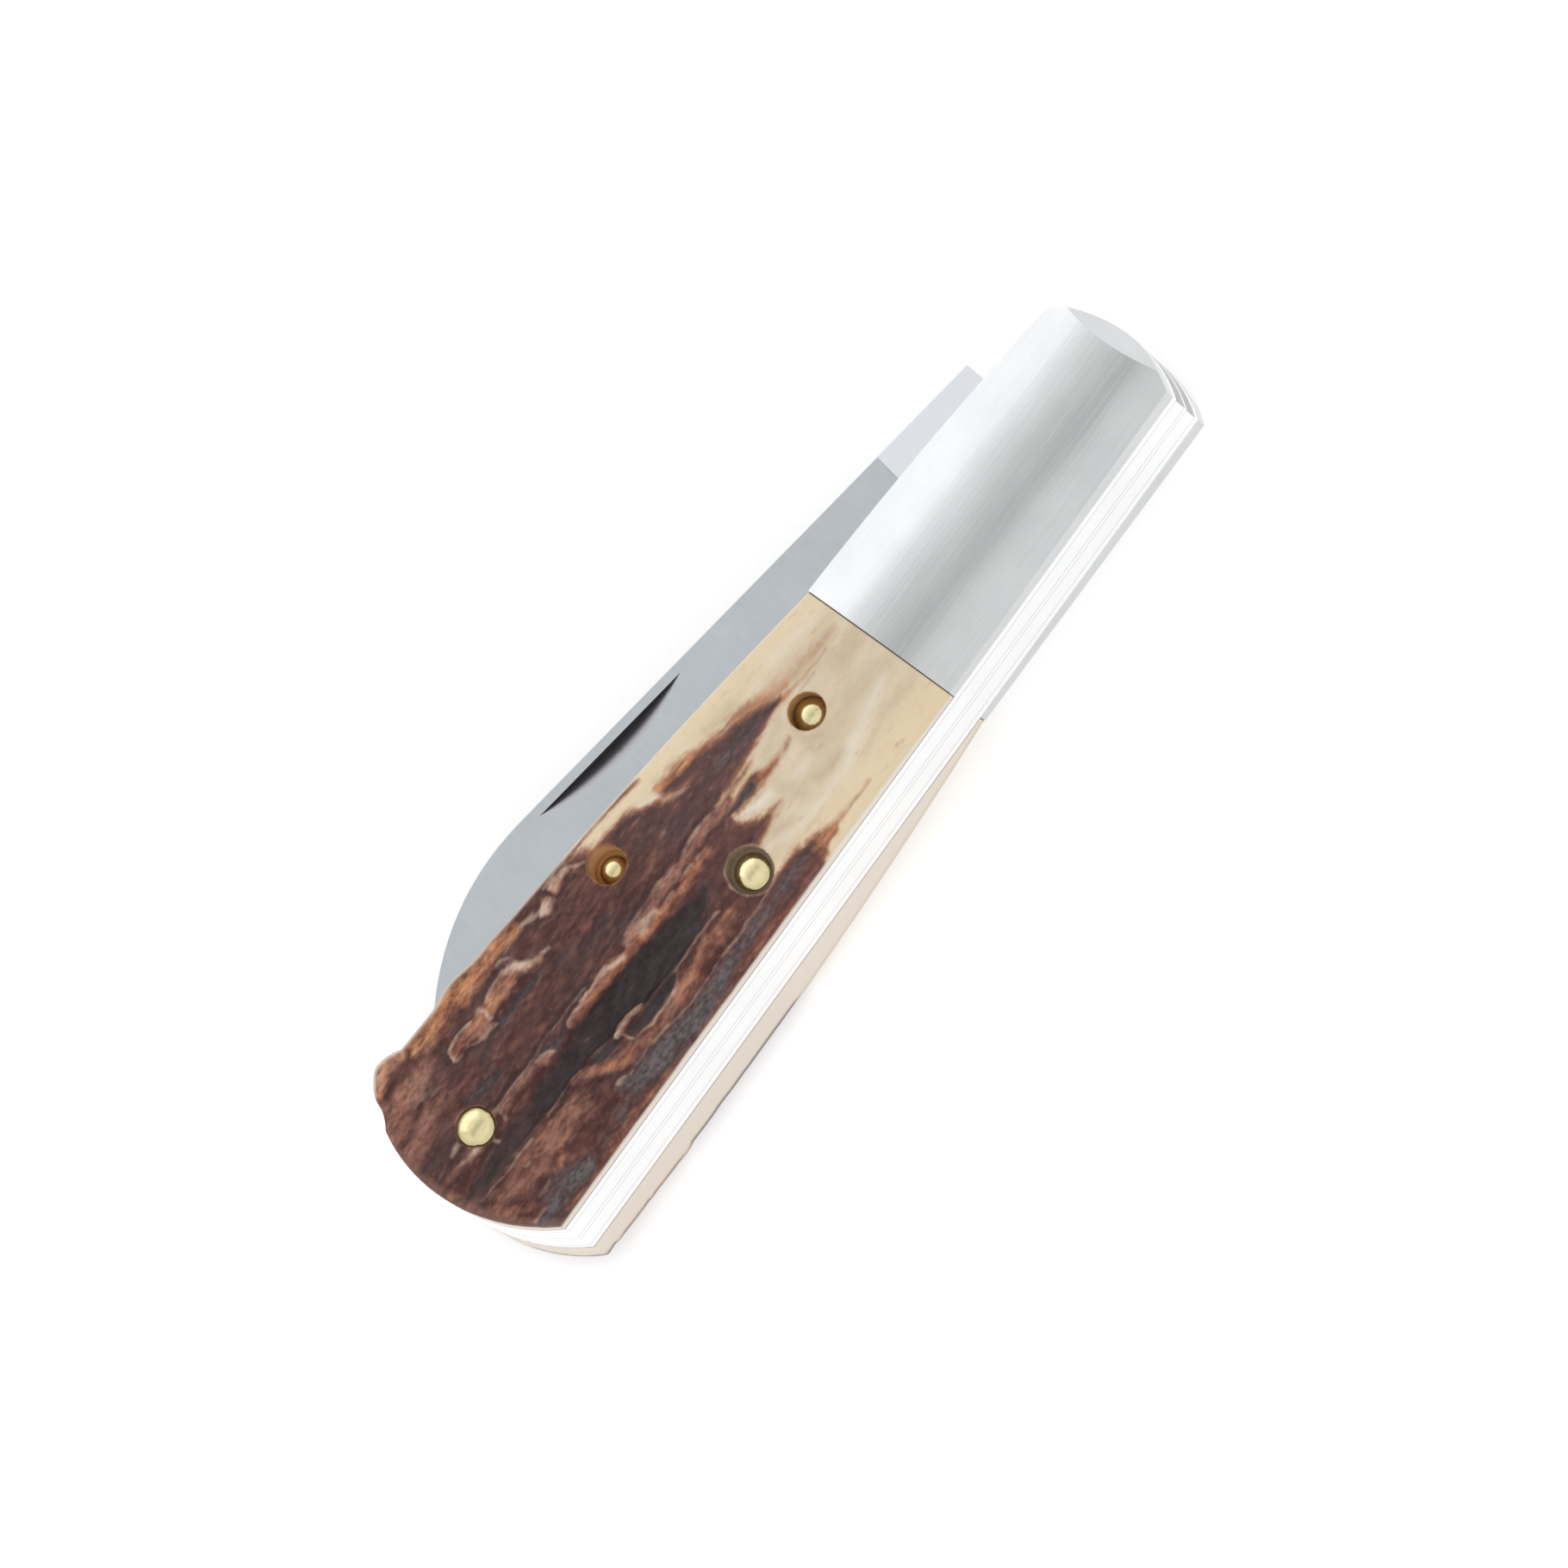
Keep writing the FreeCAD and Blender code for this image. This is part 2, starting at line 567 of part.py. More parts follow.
def blade(label, size, side):
    """A blade as it stands open: pivot at the origin, back on the y minus side, edge on the y plus side."""
    body = new_body(label)
    reach = f"({PIVOT_X} + butt_reach - {size}_tip_inset)"
    drop_start = f"({reach} - {size}_drop_length)"
    drop_radius = f"{size}_drop_radius"
    belly_start = f"({reach} - {size}_belly_length)"
    tip_y = f"({drop_radius} - pivot_height - sqrt({drop_radius}^2 - {size}_drop_length^2))"
    belly_rise = f"(edge_offset - {tip_y})"
    belly_radius = f"(({size}_belly_length^2 + {belly_rise}^2) / (2 * {belly_rise}))"
    heel = "(ricasso_length + choil_width / 2)"
    sketch = new_sketch(body, f"{label}_outline")
    outline(sketch, [
        (STOP_X, "-pivot_height"),
        (drop_start, "-pivot_height", drop_radius, "left"),
        (reach, tip_y, belly_radius, "left"),
        (belly_start, "edge_offset"),
        (heel, "edge_offset", "choil_radius", "right"),
        (f"{heel} - choil_width", "edge_offset"),
        ("kick_reach", f"(flat_distance + kick_reach * sin({FOLD})) / cos({FOLD})"),
        (f"-flat_distance * sin({FOLD}) - {TANG_HALF} * cos({FOLD})",
         f"flat_distance * cos({FOLD}) - {TANG_HALF} * sin({FOLD})", TANG_RADIUS, "left"),
        (f"-{TANG_HALF}", "-flat_distance"),
        (STOP_X, "-flat_distance"),
    ])
    circle(sketch, "0", "0", "pivot_radius + pivot_clearance")
    pad(body, sketch, BLADE_THICKNESS, side="Symmetric")
    # Flat grind on both faces, from a step at the ricasso to the edge, thinner towards the tip
    slope = f"(({BLADE_THICKNESS} / 2 - grind_step - edge_thickness / 2) / (pivot_height + edge_offset))"
    belly_middle = f"({reach} - {size}_belly_length / 2)"
    belly_y = f"(edge_offset - {belly_radius} + sqrt({belly_radius}^2 - {size}_belly_length^2 / 4))"
    sections = []
    for index, (x, edge_y) in enumerate([("ricasso_length", "edge_offset"), (belly_start, "edge_offset"),
                                         (belly_middle, belly_y), (reach, tip_y)]):
        section = new_sketch(body, f"{label}_grind{index}", "YZ_Plane", z=x)
        outline(section, [
            (f"-pivot_height - {CLEAR}", f"edge_thickness / 2 + {slope} * (pivot_height + {edge_y} + {CLEAR})"),
            (f"{edge_y} + {CLEAR}", f"edge_thickness / 2 - {slope} * {CLEAR}"),
            (f"{edge_y} + {CLEAR}", BLADE_THICKNESS),
            (f"-pivot_height - {CLEAR}", BLADE_THICKNESS),
        ])
        sections.append(section)
    grind = loft(body, sections, "PartDesign::SubtractiveLoft", True)
    mirrored = body.newObject("PartDesign::Mirrored", f"{label}_both_faces")
    mirrored.Originals = [grind]
    mirrored.MirrorPlane = (next(item for item in body.Origin.OriginFeatures if item.Role == "XY_Plane"), [""])
    body.Tip = mirrored
    doc.recompute()
    # Long nail nick under the back: an upright wall there, sloping out towards the edge
    face_z = f"({BLADE_THICKNESS} / 2 - grind_step - {slope} * nick_inset)"
    wheel_z = f"({face_z} - nick_depth + {NICK_WHEEL})"
    nick_x = f"{reach} - {size}_nick_from_tip"
    nick = new_sketch(body, f"{label}_nick", "YZ_Plane", y=f"{side} * {wheel_z}", z=nick_x)
    wall_y = "(nick_inset - pivot_height)"
    taper = "(nick_depth / nick_width)"
    outline(nick, [
        (wall_y, f"-{side} * {NICK_WHEEL}"),
        (f"{wall_y} + 2 * nick_width", f"-{side} * ({NICK_WHEEL} - 2 * nick_width * {taper})"),
        (wall_y, f"-{side} * ({NICK_WHEEL} - 2 * nick_width * {taper})"),
    ])
    turn(body, nick, "PartDesign::Groove", "H_Axis")
    keep(body, *PIVOT, f"{side} * {SLOT_MIDDLE}", "opening_angle")


def spring(label, side):
    """A back spring: its tip bears on the tang, its swell and its tail are pinned."""
    body = new_body(label)
    sketch = new_sketch(body, f"{label}_outline")
    outline(sketch, [
        (BUTT_X, "0"),
        (SPRING_END, "0"),
        (SPRING_END, SPRING_TIP),
        (f"{PIVOT_X} - bearing_length", SPRING_TIP),
        (f"{PIVOT_X} - bearing_length - bearing_taper", "waist_height"),
        ("swell_run - spring_pin_reach", "waist_height", "swell_radius", "right"),
        ("swell_half_width - spring_pin_reach", "swell_height", "swell_radius", "left"),
        ("-spring_pin_reach - swell_half_width", "swell_height"),
        ("tail_length + tail_ramp - butt_reach", "tail_ramp_height", "tail_radius", "right"),
        ("tail_length - butt_reach", "tail_height"),
        (butt_x("tail_height"), "tail_height", "butt_radius", "left"),
    ])
    circle(sketch, *SPRING_PIN, "pin_radius")
    circle(sketch, *BUTT_PIN, "pin_radius")
    pad(body, sketch, "spring_thickness", side="Symmetric")
    keep(body, z=f"{side} * {SLOT_MIDDLE}")


# Sheets and springs
liner("front_liner", "liner_thickness", f"{CORE_HALF} - liner_thickness", THROUGH_PINS + SIDE_PINS + RIVETS)
liner("centre_liner", "centre_thickness", "-centre_thickness / 2", THROUGH_PINS)
liner("rear_liner", "liner_thickness", f"-{CORE_HALF}", THROUGH_PINS + SIDE_PINS + RIVETS)
spring("main_spring", 1)
spring("pen_spring", -1)

# Blades
blade("main_blade", "main", 1)
blade("pen_blade", "pen", -1)

# Cheeks of both sides
bolster("front_bolster", 1)
bolster("rear_bolster", -1)
scale("front_scale", 1, "front", [
    (*JOINT_PIN, "joint_pin", "joint_pin_seat"),
    (*EDGE_PIN, "edge_pin", "edge_pin_seat"),
    (*SPRING_PIN, "spring_pin", "spring_pin_seat"),
    (*BUTT_PIN, "butt_pin", "butt_pin_seat"),
], True)
scale("rear_scale", -1, "rear", [
    (*JOINT_PIN, "joint_pin", "joint_pin_seat + rear_pin_seat_gain"),
    (*EDGE_PIN, "edge_pin", "edge_pin_seat + rear_pin_seat_gain"),
    (*SPRING_PIN, "spring_pin", "spring_pin_rear_seat"),
    (*BUTT_PIN, "butt_pin", "butt_pin_rear_seat"),
], False)

# Pins and rivets
pivot_pin()
through_pin("spring_pin", SPRING_PIN, "spring_pin_head", "spring_pin_seat", "spring_pin_rear_seat")
through_pin("butt_pin", BUTT_PIN, "butt_pin_head", "butt_pin_seat", "butt_pin_rear_seat")
for side, name, gain in ((1, "front", "0"), (-1, "rear", "rear_pin_seat_gain")):
    scale_pin(f"{name}_joint_pin", JOINT_PIN, side, "joint_pin_head", f"(joint_pin_seat + {gain})")
    scale_pin(f"{name}_edge_pin", EDGE_PIN, side, "edge_pin_head", f"(edge_pin_seat + {gain})")
    base = f"{CORE_HALF} - liner_thickness" if side > 0 else f"-({CORE_HALF} + rivet_depth)"
    rivet(f"{name}_joint_rivet", JOINT_RIVET, base)
    rivet(f"{name}_nose_rivet", NOSE_RIVET, base)

# The origin is the bottom centre of the closed knife's box
doc.recompute()
for piece, place in pieces:
    piece.Placement = place
doc.recompute()
box = FreeCAD.BoundBox()
for piece, _ in pieces:
    box.add(piece.Shape.optimalBoundingBox(False))
origin = FreeCAD.Vector(box.Center.x, box.Center.y, box.ZMin)
for piece, place in pieces:
    piece.Placement = FreeCAD.Placement(place.Base - origin, place.Rotation)
doc.recompute()

for item in doc.Objects:
    if "Invalid" in item.State or "Error" in item.State:
        raise ValueError(f"{item.Name} failed: {item.State}")
for piece, _ in pieces:
    if piece.Shape.isNull() or not piece.Shape.isValid() or len(piece.Shape.Solids) != 1:
        raise ValueError(f"{piece.Label} is not one sound solid")

os.makedirs("parts", exist_ok=True)
for piece, _ in pieces:
    piece.Shape.exportStep(f"parts/{piece.Label}.step")
print(f"{len(pieces)} pieces, box {box.XLength:.2f} by {box.YLength:.2f} by {box.ZLength:.2f} mm")
print(f"origin in the handle's frame {origin.x:.4f}, {origin.y:.4f}, {origin.z:.4f} mm")
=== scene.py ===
"""A two-blade pocket knife with antler scales, closed, lying on its rear side on a pale studio floor."""
import json
import math

import bpy
import numpy as np
from mathutils import Matrix, Vector
from mathutils.bvhtree import BVHTree


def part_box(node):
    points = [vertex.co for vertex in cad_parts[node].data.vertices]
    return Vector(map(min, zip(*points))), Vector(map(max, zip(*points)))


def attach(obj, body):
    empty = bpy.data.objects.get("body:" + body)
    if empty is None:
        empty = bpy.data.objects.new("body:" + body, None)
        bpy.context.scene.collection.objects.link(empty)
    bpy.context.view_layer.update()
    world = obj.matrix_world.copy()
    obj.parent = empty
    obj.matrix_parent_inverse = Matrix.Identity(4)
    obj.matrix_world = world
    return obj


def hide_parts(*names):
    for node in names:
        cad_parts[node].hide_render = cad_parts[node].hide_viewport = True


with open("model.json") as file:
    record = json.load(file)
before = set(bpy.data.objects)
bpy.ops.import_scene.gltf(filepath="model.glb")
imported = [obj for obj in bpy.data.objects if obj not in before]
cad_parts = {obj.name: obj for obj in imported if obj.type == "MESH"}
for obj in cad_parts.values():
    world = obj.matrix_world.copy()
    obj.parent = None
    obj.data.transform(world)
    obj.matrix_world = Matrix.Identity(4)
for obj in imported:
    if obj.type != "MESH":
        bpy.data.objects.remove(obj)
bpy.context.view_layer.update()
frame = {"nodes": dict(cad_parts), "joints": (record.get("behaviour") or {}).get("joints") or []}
nodes = frame["nodes"]

# The handle's own frame, in millimetres: x from the joint of bolster and scale towards the bolster's end,
# y from the back towards the blades, z from the middle sheet towards the front side
MM = 0.001
ORIGIN = Vector((
    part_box("front_bolster")[0].x,
    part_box("front_liner")[0].y,
    (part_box("centre_liner")[0].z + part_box("centre_liner")[1].z) / 2,
))
HANDLE = Matrix.Translation(ORIGIN) @ Matrix.Scale(MM, 4)
TO_HANDLE = HANDLE.inverted()

# Faces of the stacked sheets, measured from the middle of the handle
SHEETS = [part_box(node)[1].z - ORIGIN.z for node in ("centre_liner", "main_spring", "front_liner")]

# The photograph's view: square pixels of a frame this wide, long lens, leaning over the handle's back
PICTURE = 1820
PIXELS_PER_MM = 14.85
ORIGIN_PIXEL = (1123.1, 820.6)
LEAN = math.radians(22.37)
ROLL = math.radians(53.85)
CAMERA_DISTANCE = 1000.0
SENSOR = 36.0

# Antler grid, and the height over the middle sheet at which its marks were measured
ALONG = 420
ACROSS = 150
WALL_ROWS = 6
MARK_LEVEL = 7.0

# Rays that read the slab: their start well clear of it, their height over the liner for its outline, how far
# they stay inside its ends, and how far from the butt its end's outline runs
RAY_FROM = Vector((-100, 60, 50))
RAY_HEIGHT = 0.3
RAY_INSET = 0.02
BUTT_CORNER = 3.2

# A pin's seat is probed beside its shank, its bore a little over the seat. Probes round the bore, some degrees
# apart, bridge it.
SEAT_PROBE = 1.0
BORE_PROBE = 0.1
RING_CLEAR = 0.2
BRIDGE_CLEAR = 0.15
RING_STEP = 30

# Cutters for the seats: how far they stand out of the slab and overlap each other
CUT_TOP = 12.0
CUT_BELOW = 1.0
CUT_OVERLAP = 0.5
LEANING_CUT = 9.0

# Rounding of the slab's top edges and of the rims round its pins
ROUND_BACK = 0.3
ROUND_BLADE_SIDE = 0.35
ROUND_BUTT = 0.4
ROUND_JOINT = 0.12
ROUND_RIM = 0.12

# The recess of the pin near the blades leans towards them
RECESS_LEAN = math.radians(34)
PIN_SIDES = 72

# Edges sharper than this stay sharp
SMOOTH_ANGLE = math.radians(50)

# The rear scale's marks are those of the front one, turned over and moved along
REAR_SHIFT = 4.0
REAR_TURN = 15.5

# Rows and columns of random values under the noise
NOISE_TABLE = 97

# Places round a point that show whether it lies in a hollow or stands proud
NEIGHBOURS = ((0.6, 0), (-0.6, 0), (0, 0.35), (0, -0.35))

# How steep the nick's floor is at most and at least, and how level a flat is, as the normal's upward share,
# and the soft width of the limits of both
NICK_STEEPEST = 0.8
NICK_FLATTEST = 0.975
FLAT_LEVEL = 0.9999
HAIR = 0.05

# Size of the faint clouds on metal
CLOUD = 6.0


def linear(colour):
    """The linear colour of an sRGB hex value."""
    parts = [int(colour[i:i + 2], 16) / 255 for i in (1, 3, 5)]
    return [p / 12.92 if p <= 0.04045 else ((p + 0.055) / 1.055) ** 2.4 for p in parts] + [1.0]


def add(tree, kind, inputs=None, **settings):
    """One node with its settings and inputs: values, sockets to link from, or nodes whose result to link."""
    node = tree.nodes.new("ShaderNode" + kind)
    for name, setting in settings.items():
        setattr(node, name, setting)
    for name, value in (inputs or {}).items():
        if isinstance(value, bpy.types.Node):
            value = next(result for result in value.outputs if result.enabled)
        if isinstance(value, bpy.types.NodeSocket):
            tree.links.new(value, node.inputs[name])
        else:
            node.inputs[name].default_value = value
    return node


def new_material(name):
    """A material with nothing but its surface shader, its tree and its object coordinates."""
    material = bpy.data.materials.new(name)
    material.use_nodes = True
    tree = material.node_tree
    tree.nodes.clear()
    shader = add(tree, "BsdfPrincipled")
    add(tree, "OutputMaterial", {"Surface": shader.outputs["BSDF"]})
    place = add(tree, "TexCoord").outputs["Object"]
    return material, tree, shader, place


def upness(tree, normal):
    """How far the surface faces up or down, from 0 to 1."""
    facing = add(tree, "SeparateXYZ", {0: add(tree, "NewGeometry").outputs[normal]})
    return add(tree, "Math", {0: facing.outputs[2]}, operation="ABSOLUTE")


def off_middle(tree, place):
    """The distance from the middle of the handle, to either side."""
    up = add(tree, "SeparateXYZ", {0: place}).outputs[2]
    off = add(tree, "Math", {0: up, 1: ORIGIN.z}, operation="SUBTRACT")
    return add(tree, "Math", {0: off}, operation="ABSOLUTE")


def seen_rays(tree):
    """1 for rays that see the surface from the camera, by a reflection or through glass, 0 for the others."""
    path = add(tree, "LightPath")
    seen = path.outputs["Is Camera Ray"]
    for ray in ("Is Glossy Ray", "Is Transmission Ray"):
        seen = add(tree, "Math", {0: seen, 1: path.outputs[ray]}, operation="MAXIMUM")
    return seen


def ground_metal(name, colour, dark, roughness, line, run, turn=0.0, depth=0.02):
    """A metal surface ground in one direction, with lines of a width and a length in millimetres."""
    material, tree, shader, place = new_material(name)
    scale = (1000 / run, 1000 / line, 1000 / line)
    turned = add(tree, "Mapping", {"Vector": place, "Rotation": (0, 0, turn)})
    lines_at = add(tree, "Mapping", {"Vector": turned, "Scale": scale})
    lines = add(tree, "TexNoise", {"Vector": lines_at, "Scale": 1.0, "Detail": 4.0, "Roughness": 0.6})
    clouds = add(tree, "TexNoise", {"Vector": place, "Scale": 1000 / CLOUD, "Detail": 3.0})
    tone = add(tree, "Math", {0: lines, 1: clouds}, operation="ADD")
    share = add(tree, "MapRange", {0: tone, 1: 0.7, 2: 1.3, 3: 0.0, 4: 1.0})
    blend = add(tree, "Mix", {0: share, 6: linear(dark), 7: linear(colour)}, data_type="RGBA")
    tree.links.new(blend.outputs[2], shader.inputs["Base Color"])
    rough = add(tree, "MapRange", {0: lines, 1: 0.25, 2: 0.75, 3: roughness - 0.06, 4: roughness + 0.08})
    tree.links.new(rough.outputs[0], shader.inputs["Roughness"])
    bump = add(tree, "Bump", {"Strength": 0.35, "Distance": depth * MM, "Height": lines})
    tree.links.new(bump.outputs[0], shader.inputs["Normal"])
    shader.inputs["Metallic"].default_value = 1.0
    return material, tree, shader, place, blend


def sheet_metal(name, colour, dark, roughness):
    """Sheet metal ground along the handle's back, with a dark hair line where two sheets meet."""
    material, tree, shader, place, blend = ground_metal(name, colour, dark, roughness, 0.1, 9.0)
    height = off_middle(tree, place)
    gap = None
    for face in SHEETS:
        off = add(tree, "Math", {0: height, 1: face}, operation="SUBTRACT")
        off = add(tree, "Math", {0: off}, operation="ABSOLUTE")
        gap = add(tree, "Math", {0: off, 1: gap}, operation="MINIMUM") if gap else off
    line = add(tree, "MapRange", {0: gap, 1: 0.07 * MM, 2: 0.02 * MM, 3: 0.0, 4: 0.55})
    edgeways = add(tree, "Math", {0: upness(tree, "True Normal"), 1: 0.5}, operation="LESS_THAN")
    dark_seam = add(tree, "Math", {0: line, 1: edgeways}, operation="MULTIPLY")
    colour = add(tree, "Mix", {0: dark_seam, 6: blend, 7: linear("#75716f")}, data_type="RGBA")
    tree.links.new(colour.outputs[2], shader.inputs["Base Color"])
    return material


def pin_brass(name, colour, dark, roughness):
    """Brass peened into a dome: bright on top, with a painted darker rim round its foot for the dark hole
    walls it reflects.
    """
    material, tree, shader, _, blend = ground_metal(name, colour, dark, roughness, 0.6, 0.6, depth=0.06)
    # Painted reflection: darker where the dome slopes down to its foot
    foot = add(tree, "MapRange", {0: upness(tree, "Normal"), 1: 0.84, 2: 0.6, 3: 0.0, 4: 0.8})
    colour = add(tree, "Mix", {0: foot, 6: blend, 7: linear("#927d42")}, data_type="RGBA")
    tree.links.new(colour.outputs[2], shader.inputs["Base Color"])
    return material


def blade_steel(node, fold):
    """Stainless steel ground across the blade: a bright flat ricasso, a nail nick with painted shade, darker
    where its floor is steeper.
    """
    name = "stainless_steel_satin_ground_" + node
    material, tree, shader, place, blend = ground_metal(name, "#c8cdd1", "#bfc4c8", 0.36, 0.12, 4.0,
                                                        turn=math.pi / 2 + fold)
    turn = Matrix.Rotation(-fold, 3, "Z")
    mesh = nodes[node].data
    points = [turn.inverted() @ vertex.co for vertex in mesh.vertices]

    # The nick's sloping floor gives its place and size, square to the blade
    floor = [points[corner] for face in mesh.polygons if NICK_STEEPEST < abs(face.normal.z) < NICK_FLATTEST
             for corner in face.vertices]
    low = Vector(min(point[axis] for point in floor) for axis in range(3))
    high = Vector(max(point[axis] for point in floor) for axis in range(3))
    half = (high - low) / 2 + Vector((HAIR, HAIR, HAIR)) * MM
    inside = add(tree, "Mapping", {"Vector": place, "Location": turn @ ((low + high) / 2),
                                   "Rotation": (0, 0, -fold), "Scale": half}, vector_type="TEXTURE")
    inside = add(tree, "VectorMath", {0: inside}, operation="ABSOLUTE")
    inside = add(tree, "SeparateXYZ", {0: inside})
    reach = add(tree, "Math", {0: inside.outputs[0], 1: inside.outputs[1]}, operation="MAXIMUM")
    reach = add(tree, "Math", {0: reach, 1: inside.outputs[2]}, operation="MAXIMUM")
    within = add(tree, "Math", {0: reach, 1: 1.0}, operation="LESS_THAN")
    tilt = upness(tree, "True Normal")
    sloped = add(tree, "Math", {0: tilt, 1: NICK_FLATTEST}, operation="LESS_THAN")
    nick = add(tree, "Math", {0: within, 1: sloped}, operation="MULTIPLY")
    # Painted shade in the nail nick: darker the steeper its floor
    shade = add(tree, "MapRange", {0: tilt, 1: 0.5, 2: 0.95})
    painted_nick_shade = add(tree, "Mix", {0: shade, 6: linear("#5c5b5f"), 7: linear("#a9a9ac")}, data_type="RGBA")

    # The ricasso, the flat beside the pivot, starts where the grind ends
    start = min(points[corner].x for face in mesh.polygons if abs(face.normal.z) > FLAT_LEVEL
                for corner in face.vertices)
    along = add(tree, "Mapping", {"Vector": place, "Rotation": (0, 0, -fold)}, vector_type="TEXTURE")
    along = add(tree, "SeparateXYZ", {0: along})
    flat = add(tree, "MapRange", {0: along.outputs[0], 1: start, 2: start + HAIR * MM, 3: 0.0, 4: 0.85})
    steel = add(tree, "Mix", {0: flat, 6: blend, 7: linear("#e4e8ec")}, data_type="RGBA")
    colour = add(tree, "Mix", {0: nick, 6: steel, 7: painted_nick_shade}, data_type="RGBA")
    tree.links.new(colour.outputs[2], shader.inputs["Base Color"])
    return material


# Shapes of the antler scales

def smooth(value, low, high):
    """A soft step from 0 at low to 1 at high."""
    share = np.clip((value - low) / (high - low), 0, 1)
    return share * share * (3 - 2 * share)


def grain(x, y, length, width, seed):
    """A smooth random field from -1 to 1, with spots of a length along x and a width along y."""
    table = np.random.default_rng(seed).uniform(-1, 1, (NOISE_TABLE, NOISE_TABLE))
    u = x / length
    v = y / width
    i = np.floor(u).astype(int)
    j = np.floor(v).astype(int)
    f = smooth(u - i, 0, 1)
    g = smooth(v - j, 0, 1)
    left, right = i % NOISE_TABLE, (i + 1) % NOISE_TABLE
    below, above = j % NOISE_TABLE, (j + 1) % NOISE_TABLE
    lower = table[left, below] * (1 - f) + table[right, below] * f
    upper = table[left, above] * (1 - f) + table[right, above] * f
    return lower * (1 - g) + upper * g


def stroke(x, y, path, soft, swell):
    """How much of a mark lies at each place. Its path has points of x, y and half width, which swells."""
    cover = np.zeros_like(x)
    for (x0, y0, w0), (x1, y1, w1) in zip(path, path[1:]):
        dx = x1 - x0
        dy = y1 - y0
        share = np.clip(((x - x0) * dx + (y - y0) * dy) / (dx * dx + dy * dy), 0, 1)
        gap = np.hypot(x - x0 - share * dx, y - y0 - share * dy) - (w0 + share * (w1 - w0)) * swell
        cover = np.maximum(cover, 1 - smooth(gap, -soft, soft))
    return cover


def rounded(distance, radius):
    """How far a rounded edge has dropped at a distance inside it."""
    inside = np.clip(distance, 0, radius)
    return radius - np.sqrt(np.maximum(radius**2 - (radius - inside) ** 2, 0))


# Marks of the antler, in the handle's frame as the photograph's lean shows them. Each has a strength,
# a softness and a path of points with x, y and the mark's half width.
SKIN = [
    (1, 0.9, [(-60, 8, 14), (-33, 8.5, 9.8), (-29.5, 8.3, 8)]),
    (1, 0.72, [(-30, 7.8, 7.8), (-25.6, 7.6, 7.9)]),
    (1, 0.75, [(-26, 12.4, 3.1), (-23.6, 12.3, 3), (-22.2, 11.7, 2.4), (-20.5, 11.35, 1.95),
               (-18.5, 10.95, 1.55), (-16.5, 11.1, 1.65), (-14.5, 11.1, 1.55), (-12.5, 11.05, 1.3),
               (-10.5, 10.95, 0.9), (-9.2, 10.75, 0.55), (-8.3, 10.45, 0.2)]),
    (1, 0.9, [(-19.5, 13.65, 0.3), (-18.6, 13.5, 0.75), (-17, 13.25, 0.85), (-15.5, 12.6, 0.9),
              (-14, 11.9, 0.9)]),
    (1, 0.8, [(-30, 8.8, 0.9), (-22, 8.75, 0.8), (-18.5, 8.75, 0.55), (-16.6, 8.95, 0.2)]),
    (1, 0.65, [(-18.1, 8.35, 0.12), (-17, 8.1, 0.36), (-15.5, 7.95, 0.42), (-14.2, 8, 0.36),
               (-13.3, 7.7, 0.15), (-12.4, 7.6, 0.05)]),
    (1, 0.85, [(-26, 6, 2), (-22, 6.1, 1.8), (-20, 6.2, 1.55), (-18.4, 5.75, 1.2), (-17.2, 5.45, 0.85),
               (-16.4, 5.4, 0.4), (-15.6, 5.25, 0.1)]),
    (1, 0.63, [(-27, 3, 1.2), (-23.8, 3, 1.1), (-22.8, 3, 0.8)]),
    (1, 0.6, [(-29, 0.2, 1.7), (-20, 0.3, 1.55), (-17, 0.4, 1.3), (-15.9, 0.4, 0.85), (-15.2, 0.3, 0.35),
              (-13.5, 0.15, 0.1)]),
    (0.8, 0.5, [(-29, 16.8, 0.3), (-26, 16.8, 0.15), (-23, 16.55, 0.1), (-21.4, 16.25, 0.16),
                (-20.1, 16, 0.03)]),
    (0.55, 0.6, [(-17.4, 9.2, 0.3), (-15.4, 9.1, 0.3), (-13.6, 9, 0.15)]),
    (0.6, 0.8, [(-19.3, 14.3, 0.2), (-17, 14.1, 0.3), (-14.5, 13.2, 0.3), (-12, 12.6, 0.3), (-10, 12, 0.3),
                (-8.3, 11.1, 0.2), (-7, 10.8, 0.1)]),
    (0.6, 0.7, [(-10, 10.1, 0.2), (-8.5, 10.1, 0.2), (-7, 10.2, 0.1)]),
    (0.6, 0.7, [(-17.5, 7.9, 0.3), (-15, 7.7, 0.4), (-13.2, 7.6, 0.3)]),
    (0.6, 0.8, [(-17.2, 5.4, 0.8), (-15.6, 5.3, 0.4), (-14.6, 5.2, 0.1)]),
    (0.6, 0.8, [(-17, 1, 1), (-15.2, 0.8, 0.6), (-14, 0.5, 0.3)]),
]
